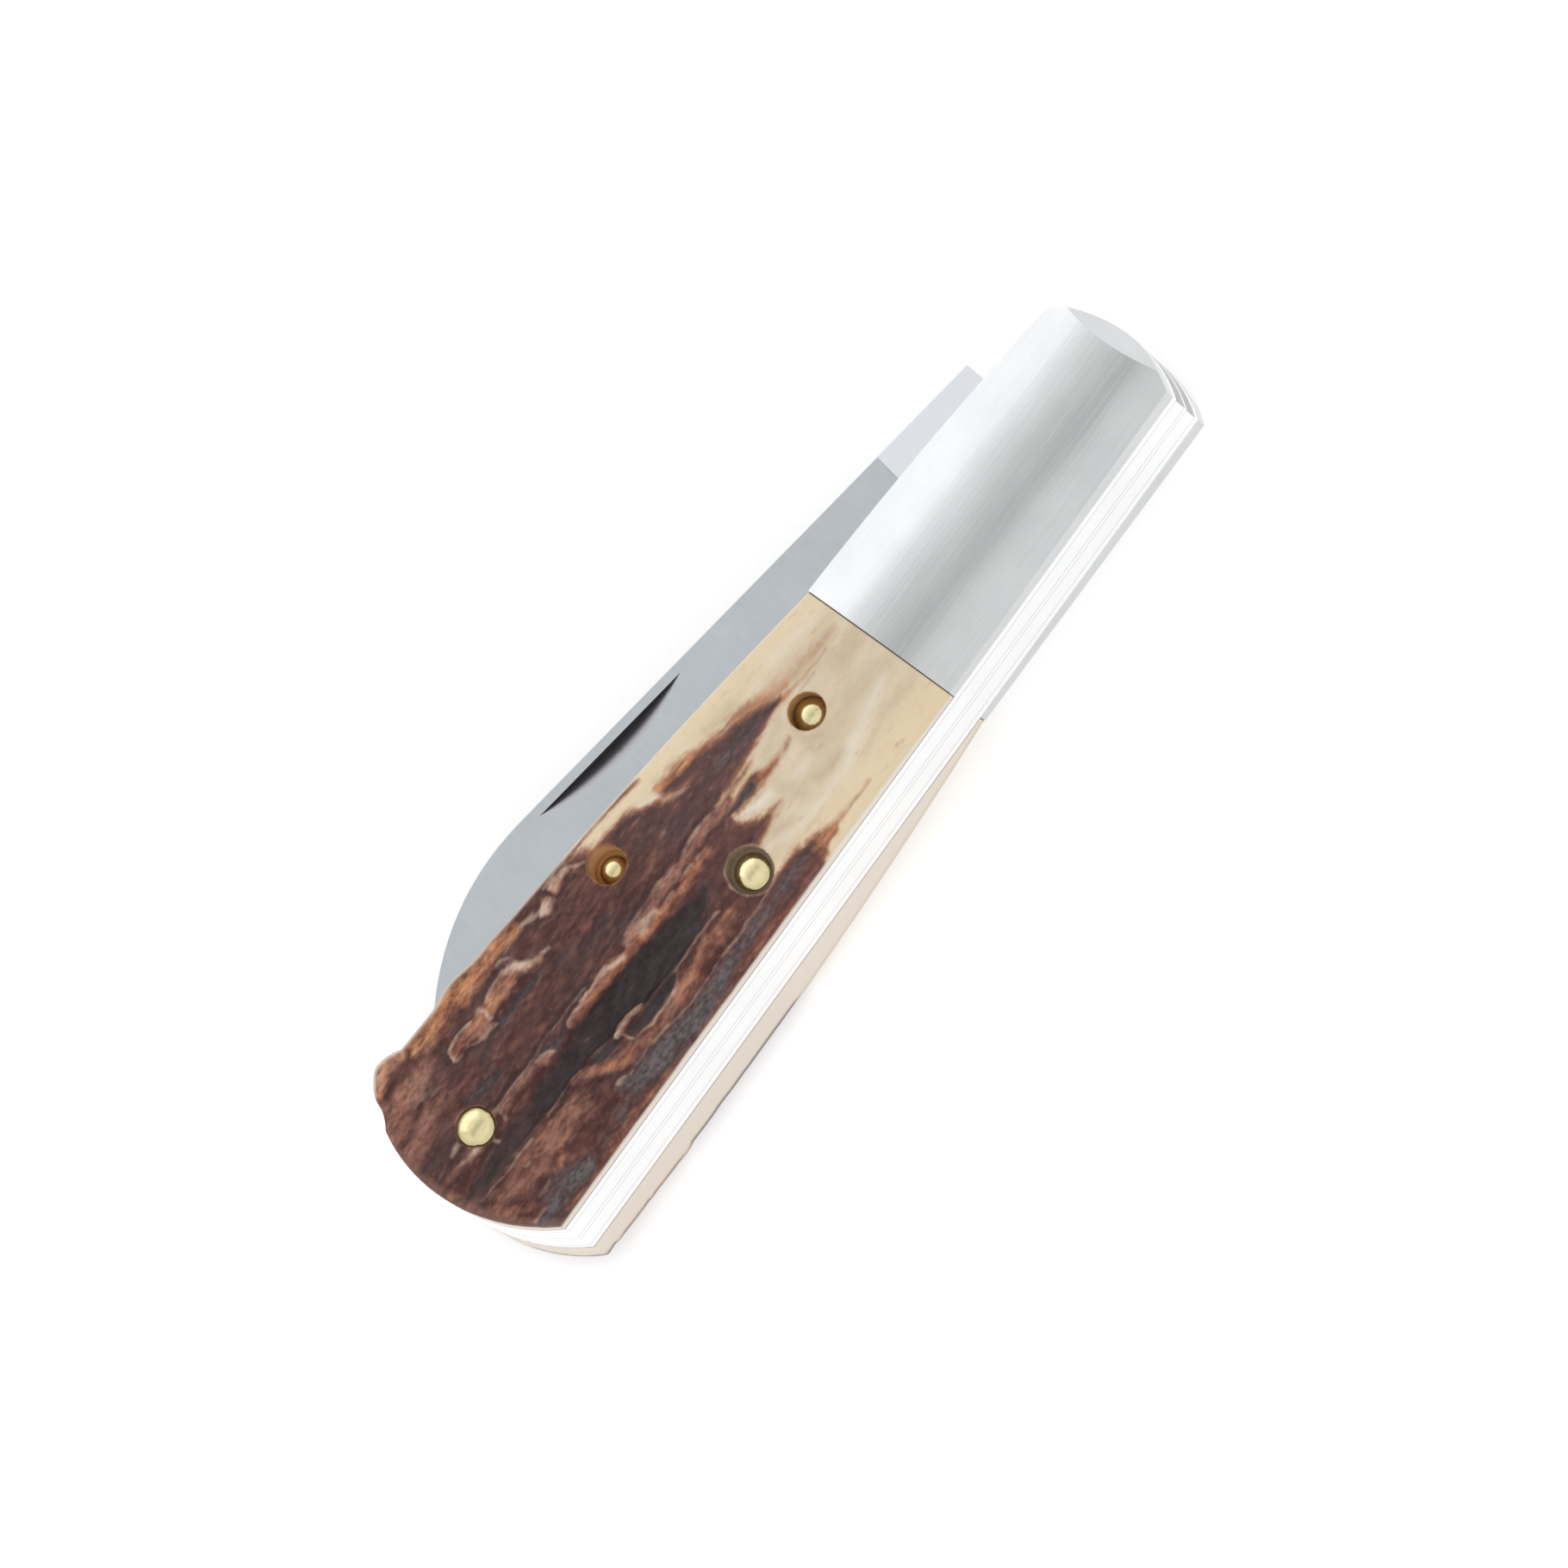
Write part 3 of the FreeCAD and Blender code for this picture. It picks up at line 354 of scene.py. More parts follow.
FURROW_AND_SHADOW = [
    (0.45, 0.7, [(-21.5, 5.9, 0.4), (-24, 5.8, 1.1), (-26, 5.7, 1.3)]),
    (0.75, 0.6, [(-24, 5.8, 0.9), (-26, 5.7, 1.25)]),
    (1, 0.42, [(-26, 5.7, 1.2), (-29, 5.75, 1.5), (-32, 6, 1.7), (-35, 6.4, 1.4), (-38, 6.6, 1.25)]),
    (0.84, 0.5, [(-37.5, 6.6, 1.25), (-41, 6.75, 1.1), (-44.5, 6.75, 1.05)]),
    (0.64, 0.55, [(-44, 6.75, 1), (-47, 6.75, 0.95), (-50, 6.7, 0.85), (-52.5, 6.7, 0.55),
                  (-54.4, 6.8, 0.2)]),
    (0.9, 0.35, [(-33.5, 4.6, 0.4), (-30, 4.9, 0.5)]),
    (0.95, 0.25, [(-36.1, 4, 0.25), (-34.5, 3.75, 0.5), (-32.5, 3.75, 0.55), (-30.8, 4, 0.4)]),
    (0.7, 0.3, [(-39.6, 5.3, 0.3), (-38.4, 4.9, 0.5), (-37.2, 4.75, 0.45)]),
    # The next two furrow strokes are painted shadow: under the crusted ridge near the blade side, and below
    # the butt pin
    (0.6, 0.35, [(-42.2, 13.5, 0.12), (-40.5, 13.4, 0.3), (-38.5, 13.25, 0.4), (-36.4, 13.25, 0.2)]),
    (0.6, 0.4, [(-50.6, 7.75, 0.3), (-47.5, 7.6, 0.25)]),
    (0.45, 0.5, [(-13, 11.4, 0.35), (-10, 10.9, 0.45), (-8.8, 10.6, 0.25)]),
    (0.4, 0.3, [(-17.8, 8.2, 0.12), (-15, 7.9, 0.22)]),
    (0.5, 0.25, [(-29, 9.7, 0.12), (-22, 9.8, 0.12), (-17, 9.65, 0.1)]),
    (0.5, 0.2, [(-47, 9.7, 0.1), (-40, 9.7, 0.12), (-30, 9.75, 0.12)]),
    (0.45, 0.6, [(-54.6, 11.2, 0.5), (-52.5, 11, 0.5), (-50.6, 10.6, 0.4)]),
    (0.45, 0.7, [(-47.5, 11.3, 0.6), (-45.5, 11, 0.7), (-43.6, 10.7, 0.3)]),
    (0.35, 0.8, [(-41, 11.6, 0.4), (-37, 11, 0.5), (-30, 11.2, 0.5)]),
    (0.4, 0.3, [(-45.5, 16.2, 0.12), (-41, 16.3, 0.15), (-38.5, 16.3, 0.12)]),
    (0.6, 0.2, [(-32.6, 15.4, 0.1), (-31.6, 15.45, 0.1), (-31.1, 16, 0.1), (-30.9, 16.9, 0.1)]),
    (0.5, 0.2, [(-30.8, 15.75, 0.08), (-29.4, 15.65, 0.1), (-28.5, 15.7, 0.08)]),
    (0.5, 0.18, [(-30.2, 17.1, 0.05), (-28.6, 16.9, 0.06), (-27, 16.55, 0.05)]),
    (0.55, 0.25, [(-22.8, 16.5, 0.06), (-21.2, 16.25, 0.14), (-20.2, 16, 0.04)]),
    (0.4, 0.3, [(-40.6, 3.6, 0.15), (-40, 3.4, 0.2)]),
]
ASH_AND_SHADOW = [
    (1, 1, [(-28.6, 0.5, 0.6), (-32, 0.5, 0.85), (-34.5, 0.75, 1), (-37, 1, 1), (-38.6, 1.4, 0.8),
            (-39.5, 2, 0.35)]),
    (0.75, 0.7, [(-23, 0.9, 0.4), (-26, 0.7, 0.6), (-29, 0.5, 0.75)]),
    (0.65, 0.7, [(-16.6, 0.9, 0.2), (-19, 0.9, 0.45), (-23, 0.9, 0.55)]),
    (0.4, 0.8, [(-15, 11.3, 0.5), (-11.5, 11, 0.6), (-8.8, 10.6, 0.3)]),
    (0.6, 0.35, [(-17.6, 8.3, 0.15), (-15.2, 8, 0.25)]),
    (0.95, 1, [(-50.2, 0.7, 0.7), (-49, 0.9, 0.85), (-47.4, 0.7, 0.8), (-46.3, 0.3, 0.5)]),
    (0.7, 0.3, [(-52.2, 0.7, 0.3), (-50.6, 0.6, 0.5)]),
    (0.35, 0.8, [(-46, 0.2, 0.4), (-42, 0.6, 0.5), (-40, 0.9, 0.6)]),
    (0.4, 0.9, [(-54, 11, 0.5), (-52.5, 11.4, 0.5), (-50, 11.8, 0.2)]),
    # Painted shadow: the grey band under the crusted ridge near the blade side
    (0.75, 0.35, [(-41.6, 13.3, 0.2), (-39.5, 13.15, 0.3), (-37, 13.1, 0.25), (-36, 13.15, 0.1)]),
    (0.6, 0.35, [(-39.4, 5.2, 0.2), (-38.2, 4.8, 0.35), (-37.2, 4.6, 0.2)]),
    (0.5, 0.3, [(-36.5, 14.7, 0.15), (-35.6, 14.2, 0.12)]),
    (0.5, 0.6, [(-47.4, 11.6, 0.3), (-45, 11.2, 0.4)]),
    (0.55, 0.25, [(-41, 9, 0.2), (-40.2, 8.4, 0.3), (-39.3, 8.5, 0.2)]),
]
RUST = [
    (0.85, 0.39, [(-21, 7.7, 0.2), (-24, 7.65, 0.36), (-28, 7.75, 0.36), (-31, 8, 0.32), (-34, 8.2, 0.3),
                  (-37.5, 8.3, 0.25)]),
    (0.65, 0.5, [(-41, 5.2, 0.25), (-39.6, 4.4, 0.35), (-38.6, 3.4, 0.4), (-37, 2.7, 0.35)]),
    (0.12, 1.17, [(-53.5, 4, 0.7), (-50, 3.9, 1.3), (-46, 4, 1.3), (-42, 4.2, 1)]),
    (0.5, 0.6, [(-53.6, 4.6, 0.4), (-52.8, 3.2, 0.5), (-51.4, 2, 0.4)]),
    (0.4, 0.5, [(-50.5, 5, 0.3), (-48, 4.9, 0.4), (-45.5, 5.1, 0.3)]),
    (0.5, 0.65, [(-36.5, 2.6, 0.35), (-33, 2.4, 0.4), (-30, 2.5, 0.55), (-26, 2.9, 0.7), (-23, 3, 0.5)]),
    (0.7, 0.2, [(-50, -0.5, 0.12), (-15.5, -0.45, 0.12)]),
    (0.6, 0.3, [(-44.2, -0.2, 0.12), (-40.8, -0.1, 0.14)]),
    (0.5, 0.39, [(-52.3, 1.8, 0.2), (-54, 5, 0.25), (-54.9, 9, 0.2), (-54.6, 13, 0.25), (-53.4, 16, 0.4),
                 (-52, 17.8, 0.4)]),
    (0.6, 0.33, [(-7, 9.3, 0.08), (-5, 9.2, 0.1)]),
    (0.3, 0.78, [(-15.4, 1.9, 0.2), (-13.6, 1.8, 0.2)]),
    (0.6, 0.26, [(-15.6, 5.3, 0.1), (-14.1, 5.1, 0.06)]),
    (0.4, 0.52, [(-14, 12.9, 0.3), (-11.5, 12.4, 0.3), (-9.5, 11.9, 0.3)]),
    (0.6, 0.26, [(-25.5, 16.6, 0.08), (-22.8, 16.5, 0.1), (-20, 15.8, 0.15)]),
    (0.9, 0.22, [(-15.4, 0.35, 0.08), (-13, 0.17, 0.07), (-10.8, 0.14, 0.06), (-9, 0.12, 0.02)]),
    (0.4, 0.6, [(-31, 16.3, 0.3), (-29.6, 16.3, 0.45)]),
    (0.5, 0.5, [(-48, 2, 0.15), (-47, 2.7, 0.25), (-45.8, 3.2, 0.2)]),
    (0.4, 0.65, [(-53, 15, 0.8), (-50, 16.8, 0.6)]),
]
EMBER = [
    (0.75, 0.6, [(-47, 17.9, 0.5), (-44, 17.8, 0.7), (-41, 17.7, 0.9), (-38, 17.4, 0.7), (-35, 17.2, 0.45)]),
    (1, 0.5, [(-43.8, 18.1, 0.3), (-42, 17.9, 0.5), (-40.3, 17.7, 0.5), (-38, 17.4, 0.4), (-36, 17.3, 0.2)]),
    (1, 0.52, [(-51.5, 18.6, 0.5), (-50, 19, 0.6), (-48.4, 18.8, 0.5), (-45, 18.3, 0.3)]),
    (0.8, 0.5, [(-15.8, 0.4, 0.3), (-13.5, 0.3, 0.22), (-11.5, 0.25, 0.12), (-9.3, 0.2, 0.04)]),
    (0.85, 0.45, [(-19.4, 14.3, 0.2), (-18, 14, 0.25), (-16, 13.6, 0.3), (-14.5, 13, 0.2)]),
    (0.45, 1.1, [(-11, 12.3, 0.4), (-8, 11.4, 0.6), (-5.5, 10.7, 0.7), (-3, 10.3, 0.5), (-1.5, 10.2, 0.2)]),
    (0.7, 0.36, [(-8.8, 11.1, 0.1), (-7.2, 10.85, 0.12), (-5.4, 10.6, 0.06)]),
    (0.8, 0.33, [(-8.2, 10.1, 0.1), (-6, 9.75, 0.14), (-4.4, 9.65, 0.1), (-2.8, 9.7, 0.05)]),
    (0.4, 0.78, [(-11.4, 12.9, 0.3), (-9.3, 12, 0.35)]),
    (0.9, 0.45, [(-13.8, 7.75, 0.15), (-12.3, 7.55, 0.18), (-11, 7.55, 0.22)]),
    (1, 0.36, [(-10.9, 7.6, 0.24), (-10.4, 7.65, 0.22)]),
    (0.6, 0.5, [(-29.5, 7.9, 0.25), (-26, 7.8, 0.25), (-22.5, 7.75, 0.2)]),
    (0.4, 0.4, [(-39.6, 4, 0.2), (-38.6, 3.1, 0.3), (-37.4, 2.6, 0.2)]),
    (0.4, 0.6, [(-45.5, 15, 0.4), (-42, 14.9, 0.6), (-38.5, 15, 0.6)]),
    (0.2, 0.6, [(-35.5, 3, 0.3), (-31, 2.7, 0.4), (-26.5, 3.2, 0.5), (-23.5, 3.2, 0.3)]),
    (0.4, 0.4, [(-47.4, 2.2, 0.15), (-46.4, 2.9, 0.2)]),
]
RIDGE = [
    (0.95, 1, [(-53.6, 15, 0.6), (-51, 15.9, 0.9), (-48, 16, 0.8)]),
    (0.75, 1, [(-54.2, 13, 0.5), (-51.5, 13.2, 0.7), (-48.5, 13.6, 0.5)]),
    (0.5, 1.1, [(-53, 4.2, 0.7), (-48, 3.8, 1.2), (-43, 3.8, 1)]),
    (0.5, 0.7, [(-54.4, 9.2, 0.3), (-52.5, 9, 0.5)]),
    (0.75, 0.35, [(-45.6, 15, 0.42), (-44.6, 15, 0.5)]),
    (0.8, 0.35, [(-44.4, 15.05, 0.55), (-43.1, 14.95, 0.7), (-42.3, 14.6, 0.75)]),
    (0.8, 0.35, [(-41.4, 14.9, 0.55), (-40, 14.95, 0.7), (-38.8, 14.95, 0.7)]),
    (0.9, 0.35, [(-38.4, 15, 0.65), (-37.4, 14.9, 0.65), (-36.8, 14.4, 0.35), (-35.4, 13.85, 0.25)]),
    (0.7, 0.3, [(-43, 13.9, 0.25), (-42.2, 13.75, 0.25)]),
    (0.8, 0.36, [(-17, 8.95, 0.2), (-20, 8.9, 0.4), (-26, 8.85, 0.4), (-30.5, 8.6, 0.4)]),
    (0.85, 0.3, [(-31.2, 8.25, 0.25), (-32.6, 8.55, 0.4), (-34.5, 8.6, 0.4), (-36.2, 8.65, 0.42),
                 (-38.2, 8.5, 0.3)]),
    (0.8, 0.3, [(-40.9, 8.6, 0.35), (-41.9, 8.65, 0.4)]),
    (0.5, 0.5, [(-42.6, 8.9, 0.3), (-46.5, 8.9, 0.4)]),
    (0.8, 0.3, [(-36.7, 4.85, 0.25), (-35.6, 4.85, 0.32), (-34.3, 4.7, 0.1)]),
    (0.6, 0.5, [(-42, 5.2, 0.3), (-40, 4.4, 0.4), (-38.4, 3.2, 0.4), (-34, 2.5, 0.4), (-28, 3, 0.5),
                (-24, 3, 0.5)]),
    (1, 0.35, [(-32.2, 16, 0.5), (-31.5, 16.2, 0.55)]),
    (1, 0.35, [(-30.3, 16.4, 0.6), (-29.9, 16.45, 0.6)]),
    (0.5, 0.5, [(-29, 16.4, 0.35), (-28.2, 16.1, 0.3)]),
    (0.7, 0.56, [(-51.6, 18.5, 0.6), (-50, 18.8, 0.7), (-48.4, 18.6, 0.5)]),
    (0.7, 0.5, [(-52, 8.8, 0.4), (-50.5, 8.7, 0.5)]),
    (0.5, 0.8, [(-47, 17.4, 0.5), (-41, 17.5, 0.7), (-35, 17, 0.5)]),
]
CRUST = [
    (0.6, 0.45, [(-32.2, 16.1, 0.3), (-31.5, 16.25, 0.35)]),
    (0.6, 0.45, [(-30.3, 16.5, 0.35), (-29.9, 16.5, 0.4)]),
    (0.6, 0.22, [(-29.2, 16.75, 0.1), (-28.2, 16.3, 0.12), (-27.4, 15.8, 0.08)]),
    (0.8, 0.3, [(-46, 14.6, 0.1), (-45.9, 15.25, 0.16)]),
    (0.8, 0.26, [(-45.6, 15.45, 0.1), (-44.9, 15.65, 0.13), (-44.2, 15.72, 0.1)]),
    (0.75, 0.26, [(-43.9, 15.75, 0.1), (-43.4, 15.72, 0.1), (-42.7, 15.5, 0.1)]),
    (0.75, 0.3, [(-41.6, 15.5, 0.14), (-41.4, 15, 0.16), (-41.5, 14.2, 0.12)]),
    (0.75, 0.26, [(-40.8, 15.45, 0.1), (-39.6, 15.75, 0.13), (-38.4, 15.8, 0.13)]),
    (1, 0.4, [(-37.9, 15.45, 0.25), (-37.2, 15.1, 0.38), (-36.9, 14.6, 0.3)]),
    (0.7, 0.26, [(-36.6, 14.3, 0.16), (-35.6, 13.95, 0.14), (-34.4, 13.75, 0.06)]),
    (0.4, 0.22, [(-45.8, 14.4, 0.06), (-44.4, 14.3, 0.06), (-43, 13.6, 0.08), (-42, 13.55, 0.08)]),
    (0.34, 0.29, [(-16.3, 9.25, 0.06), (-18, 9.2, 0.08), (-20, 9.45, 0.1), (-22, 9.3, 0.08), (-24, 9.2, 0.08),
                  (-27, 9.3, 0.08), (-30, 9.2, 0.06)]),
    (0.35, 0.2, [(-35.5, 9.45, 0.06), (-41, 9.45, 0.06), (-47.2, 9.45, 0.06)]),
    (0.65, 0.26, [(-38.5, 8.5, 0.08), (-38.2, 8.8, 0.1), (-37.3, 8.9, 0.12), (-36.8, 8.75, 0.08)]),
    (0.7, 0.26, [(-36.4, 9, 0.14), (-35.6, 9, 0.12), (-35.2, 8.8, 0.06)]),
    (0.65, 0.26, [(-35, 8.85, 0.1), (-34.2, 9, 0.14), (-33.2, 8.9, 0.14)]),
    (0.7, 0.26, [(-33, 8.75, 0.14), (-32.2, 8.5, 0.2), (-31.5, 8.2, 0.15)]),
    (0.75, 0.32, [(-29.3, 8.2, 0.15), (-28.2, 8.35, 0.28), (-27.4, 8.2, 0.12)]),
    (0.55, 0.32, [(-26.4, 8.25, 0.1), (-25.3, 8.25, 0.14)]),
    (0.51, 0.32, [(-24.4, 8.2, 0.06), (-23, 8.15, 0.1)]),
    (0.42, 0.29, [(-22.3, 8.1, 0.05), (-21.2, 7.95, 0.06)]),
    (0.5, 0.26, [(-41.9, 9.05, 0.1), (-41.3, 9.05, 0.1), (-40.85, 8.7, 0.08), (-40.8, 8.3, 0.06)]),
    (0.8, 0.26, [(-36.8, 4.9, 0.18), (-35.8, 4.9, 0.3), (-34.9, 4.75, 0.18), (-33.8, 4.65, 0.05)]),
    (0.6, 0.2, [(-36.5, 4.4, 0.08), (-36.4, 3.4, 0.08)]),
    (0.5, 0.2, [(-36.2, 3.3, 0.06), (-34.4, 3.05, 0.08), (-32.4, 3.1, 0.1), (-30.7, 3.25, 0.08)]),
    (0.59, 0.3, [(-38.1, 16.5, 0.12), (-37.6, 16.45, 0.12), (-37.2, 16.1, 0.06)]),
    (1, 0.24, [(-32.35, 16, 0.3), (-31.95, 16.2, 0.34)]),
    (0.55, 0.24, [(-30.6, 16.6, 0.2), (-29.9, 16.6, 0.22)]),
    (0.7, 0.24, [(-29.3, 16.45, 0.25), (-28.7, 16.4, 0.25)]),
    (0.45, 0.35, [(-34.3, 16.9, 0.14), (-33.2, 16.6, 0.2), (-32.8, 16.4, 0.1)]),
    (0.6, 0.16, [(-31, 17.05, 0.05), (-29, 17.05, 0.06), (-27, 16.75, 0.05)]),
    (0.5, 0.16, [(-28.6, 16.75, 0.05), (-27, 16.4, 0.05)]),
    (0.6, 0.3, [(-39.6, 2.4, 0.12), (-38.9, 2.3, 0.14)]),
    (0.5, 0.2, [(-38.4, 2.05, 0.07), (-37, 2.1, 0.08), (-36, 2.25, 0.08), (-34.4, 1.95, 0.08),
                (-32.8, 1.6, 0.08), (-31, 1.4, 0.07), (-28.5, 1.45, 0.08), (-26, 1.55, 0.06),
                (-22, 1.6, 0.06), (-19.5, 1.8, 0.08)]),
    (0.38, 0.29, [(-30, 4.1, 0.05), (-27, 4.25, 0.08), (-24.3, 4.05, 0.06)]),
    (0.6, 0.45, [(-52.2, 9, 0.12), (-51.3, 8.7, 0.25), (-50.6, 8.5, 0.2)]),
    (0.6, 0.3, [(-51.9, 10.1, 0.08), (-50.9, 10.2, 0.14)]),
    (0.77, 0.24, [(-49.1, 7.9, 0.13), (-48.95, 7.6, 0.1)]),
    (0.38, 0.32, [(-47.4, 8.3, 0.12), (-46.9, 9.5, 0.08)]),
    (0.4, 0.6, [(-50.4, 15, 0.2), (-49.5, 14.6, 0.3), (-48.7, 14.2, 0.2)]),
    (0.38, 0.24, [(-55, 9.8, 0.06), (-53.3, 9.75, 0.06)]),
    (0.47, 0.24, [(-49.1, 4.5, 0.12), (-48.8, 4.5, 0.12)]),
    (0.35, 0.22, [(-53.5, 5.75, 0.06), (-50, 5.55, 0.08), (-47, 5.6, 0.06)]),
    (0.45, 0.2, [(-45, 5.6, 0.06), (-43, 5.7, 0.07), (-40.8, 5.55, 0.06)]),
    (0.5, 0.2, [(-52.3, 1.1, 0.06), (-50.8, 1.15, 0.06)]),
    (0.35, 0.22, [(-50.4, 2, 0.06), (-48.8, 2.05, 0.06)]),
    (0.47, 0.24, [(-19.9, 13.2, 0.06), (-18.8, 12.6, 0.08), (-17.7, 12.25, 0.05)]),
    (0.5, 0.6, [(-51.4, 18.6, 0.35), (-50, 19, 0.45), (-48.4, 18.7, 0.35)]),
]
SMOKE = [
    (0.7, 0.7, [(-11.2, 3.9, 0.3), (-9.8, 3.6, 0.5), (-8.2, 3.4, 0.3)]),
    (0.35, 0.9, [(-13.6, 6.2, 0.4), (-13, 5, 0.7), (-13.2, 3.8, 0.4)]),
    (0.4, 0.6, [(-12.2, 8.6, 0.3), (-9.6, 9, 0.4)]),
    (0.4, 0.5, [(-9.6, 7.9, 0.2), (-9.5, 6.6, 0.3), (-8.6, 5.7, 0.2)]),
    (0.3, 0.8, [(-6, 8.4, 0.4), (-3, 8.6, 0.5), (-1, 8, 0.5)]),
    (0.3, 0.9, [(-5, 5.6, 0.4), (-2, 5.4, 0.6)]),
    (0.35, 0.6, [(-7.5, 2, 0.2), (-4, 2.6, 0.4), (-1, 2.2, 0.4)]),
    (0.4, 0.5, [(-16.8, 3.9, 0.3), (-15.2, 3.4, 0.3)]),
    (0.4, 0.5, [(-13.5, 14, 0.2), (-11, 13.5, 0.3)]),
]
CHALK = [
    (0.9, 0.4, [(-19.6, 8, 0.25), (-18.3, 7.7, 0.35), (-16.9, 7.1, 0.35), (-15.2, 6.5, 0.4),
                (-14.4, 6.3, 0.3)]),
    (0.7, 0.5, [(-21.9, 14.7, 0.3), (-20.4, 14.1, 0.3), (-19.9, 13.6, 0.2)]),
    (0.6, 0.6, [(-17.8, 3.9, 0.3), (-16, 2.8, 0.4), (-13, 2.4, 0.5), (-10, 2.5, 0.4), (-6, 3.4, 0.4),
                (-2, 4.6, 0.4)]),
    (0.4, 0.6, [(-12.4, 5.2, 0.4), (-10.6, 5.4, 0.5)]),
    (0.5, 0.7, [(-6, 12.9, 0.4), (-2, 11.9, 0.5)]),
]

# Each kind's paths, its depth in the bark, how patchy it is and how much its width swells
MARKS = {
    "skin": (SKIN, 0.1, 0.0, 0.0),
    "furrow_and_shadow": (FURROW_AND_SHADOW, 0.2, 0.12, 0.15),
    "ash_and_shadow": (ASH_AND_SHADOW, 0.2, 0.6, 0.4),
    "rust": (RUST, 0.0, 0.5, 0.5),
    "ember": (EMBER, 0.0, 0.6, 0.4),
    "ridge": (RIDGE, -0.2, 0.35, 0.3),
    "crust": (CRUST, -0.16, 0.35, 0.4),
    "smoke": (SMOKE, 0.0, 0.4, 0.4),
    "chalk": (CHALK, 0.0, 0.4, 0.4),
}

# The look of each pin's recess: painted amber glow for light through thin antler, painted shade on its wall,
# crumbs round its rim
RECESS = {"joint_pin": (0.9, 0.25, 0.15), "edge_pin": (0.95, 0.0, 0.1), "spring_pin": (0.4, 0.8, 0.35),
          "butt_pin": (0.3, 0.5, 0.15)}
# Natural swellings of the antler's edge on the blade side: x, half length and rise
EDGE_SWELLS = [(-49.9, 1.95, 0.38), (-41.3, 3.1, 0.4), (-37.0, 3.4, 0.1)]


def antler_marks(x, y, flip, seed):
    """The antler's marks at each place: the same kinds on both scales, turned over on the rear one."""
    if flip:
        x = x + REAR_SHIFT
        y = REAR_TURN - y
    warp_x = x + 0.3 * grain(x, y, 2.6, 0.8, seed) + 0.12 * grain(x, y, 1.6, 0.3, seed + 1)
    warp_y = y + 0.16 * grain(x, y, 2.5, 1.2, seed + 2) + 0.07 * grain(x, y, 0.7, 0.5, seed + 3)
    patch = 0.6 * grain(x, y, 1.3, 0.6, seed + 8) + 0.4 * grain(x, y, 0.5, 0.3, seed + 9)
    bead = np.maximum(1 + 0.5 * grain(x, y, 1.1, 2.0, seed + 10) + 0.5 * grain(x, y, 0.45, 0.8, seed + 11), 0)
    fields = {}
    for kind, (marks, _, patchy, beaded) in MARKS.items():
        cover = np.zeros_like(x)
        swell = 1 + beaded * (bead - 1)
        for strength, soft, path in marks:
            cover = np.maximum(cover, strength * stroke(warp_x, warp_y, path, soft, swell))
        fields[kind] = np.clip(cover * (1 + patchy * patch), 0, 1)
    return fields


def antler_relief(x, y, fields, seed):
    """How far the bark lies under the crown: deeper towards the butt, less on its ridges and crusts."""
    drop = sum(MARKS[kind][1] * fields[kind] for kind in fields)
    drop = drop + 0.15 * smooth(-x, 17, 32) * fields["skin"]
    fibre = grain(x, y, 3.0, 0.3, seed + 4) + 0.6 * grain(x, y, 1.2, 0.2, seed + 5)
    lumps = grain(x, y, 2.6, 0.9, seed + 6) + 0.6 * grain(x, y, 0.8, 0.45, seed + 7)
    return np.maximum(drop + fields["skin"] * (0.06 + 0.022 * fibre + 0.07 * lumps), -0.1)


def cad_tree(node):
    """The CAD piece as a ray target, in the handle's frame."""
    mesh = nodes[node].data
    points = [TO_HANDLE @ vertex.co for vertex in mesh.vertices]
    return BVHTree.FromPolygons(points, [tuple(face.vertices) for face in mesh.polygons])


def centre_of(node):
    """The middle of a CAD piece's box, in the handle's frame."""
    low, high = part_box(node)
    return TO_HANDLE @ ((low + high) / 2)


def new_object(name):
    """The mesh that was just added, under its own name."""
    piece = bpy.context.active_object
    piece.name = name
    piece.data.name = name
    return piece


def select_only(piece):
    """Makes a piece the only selected one, and the active one."""
    bpy.ops.object.select_all(action="DESELECT")
    bpy.context.view_layer.objects.active = piece
    piece.select_set(True)


def cut(piece, cutter):
    """Cuts one closed mesh with another and removes the cutter."""
    change = piece.modifiers.new("cut", "BOOLEAN")
    change.operation = "DIFFERENCE"
    change.solver = "MANIFOLD"
    change.object = cutter
    select_only(piece)
    bpy.ops.object.modifier_apply(modifier=change.name)
    bpy.data.objects.remove(cutter)


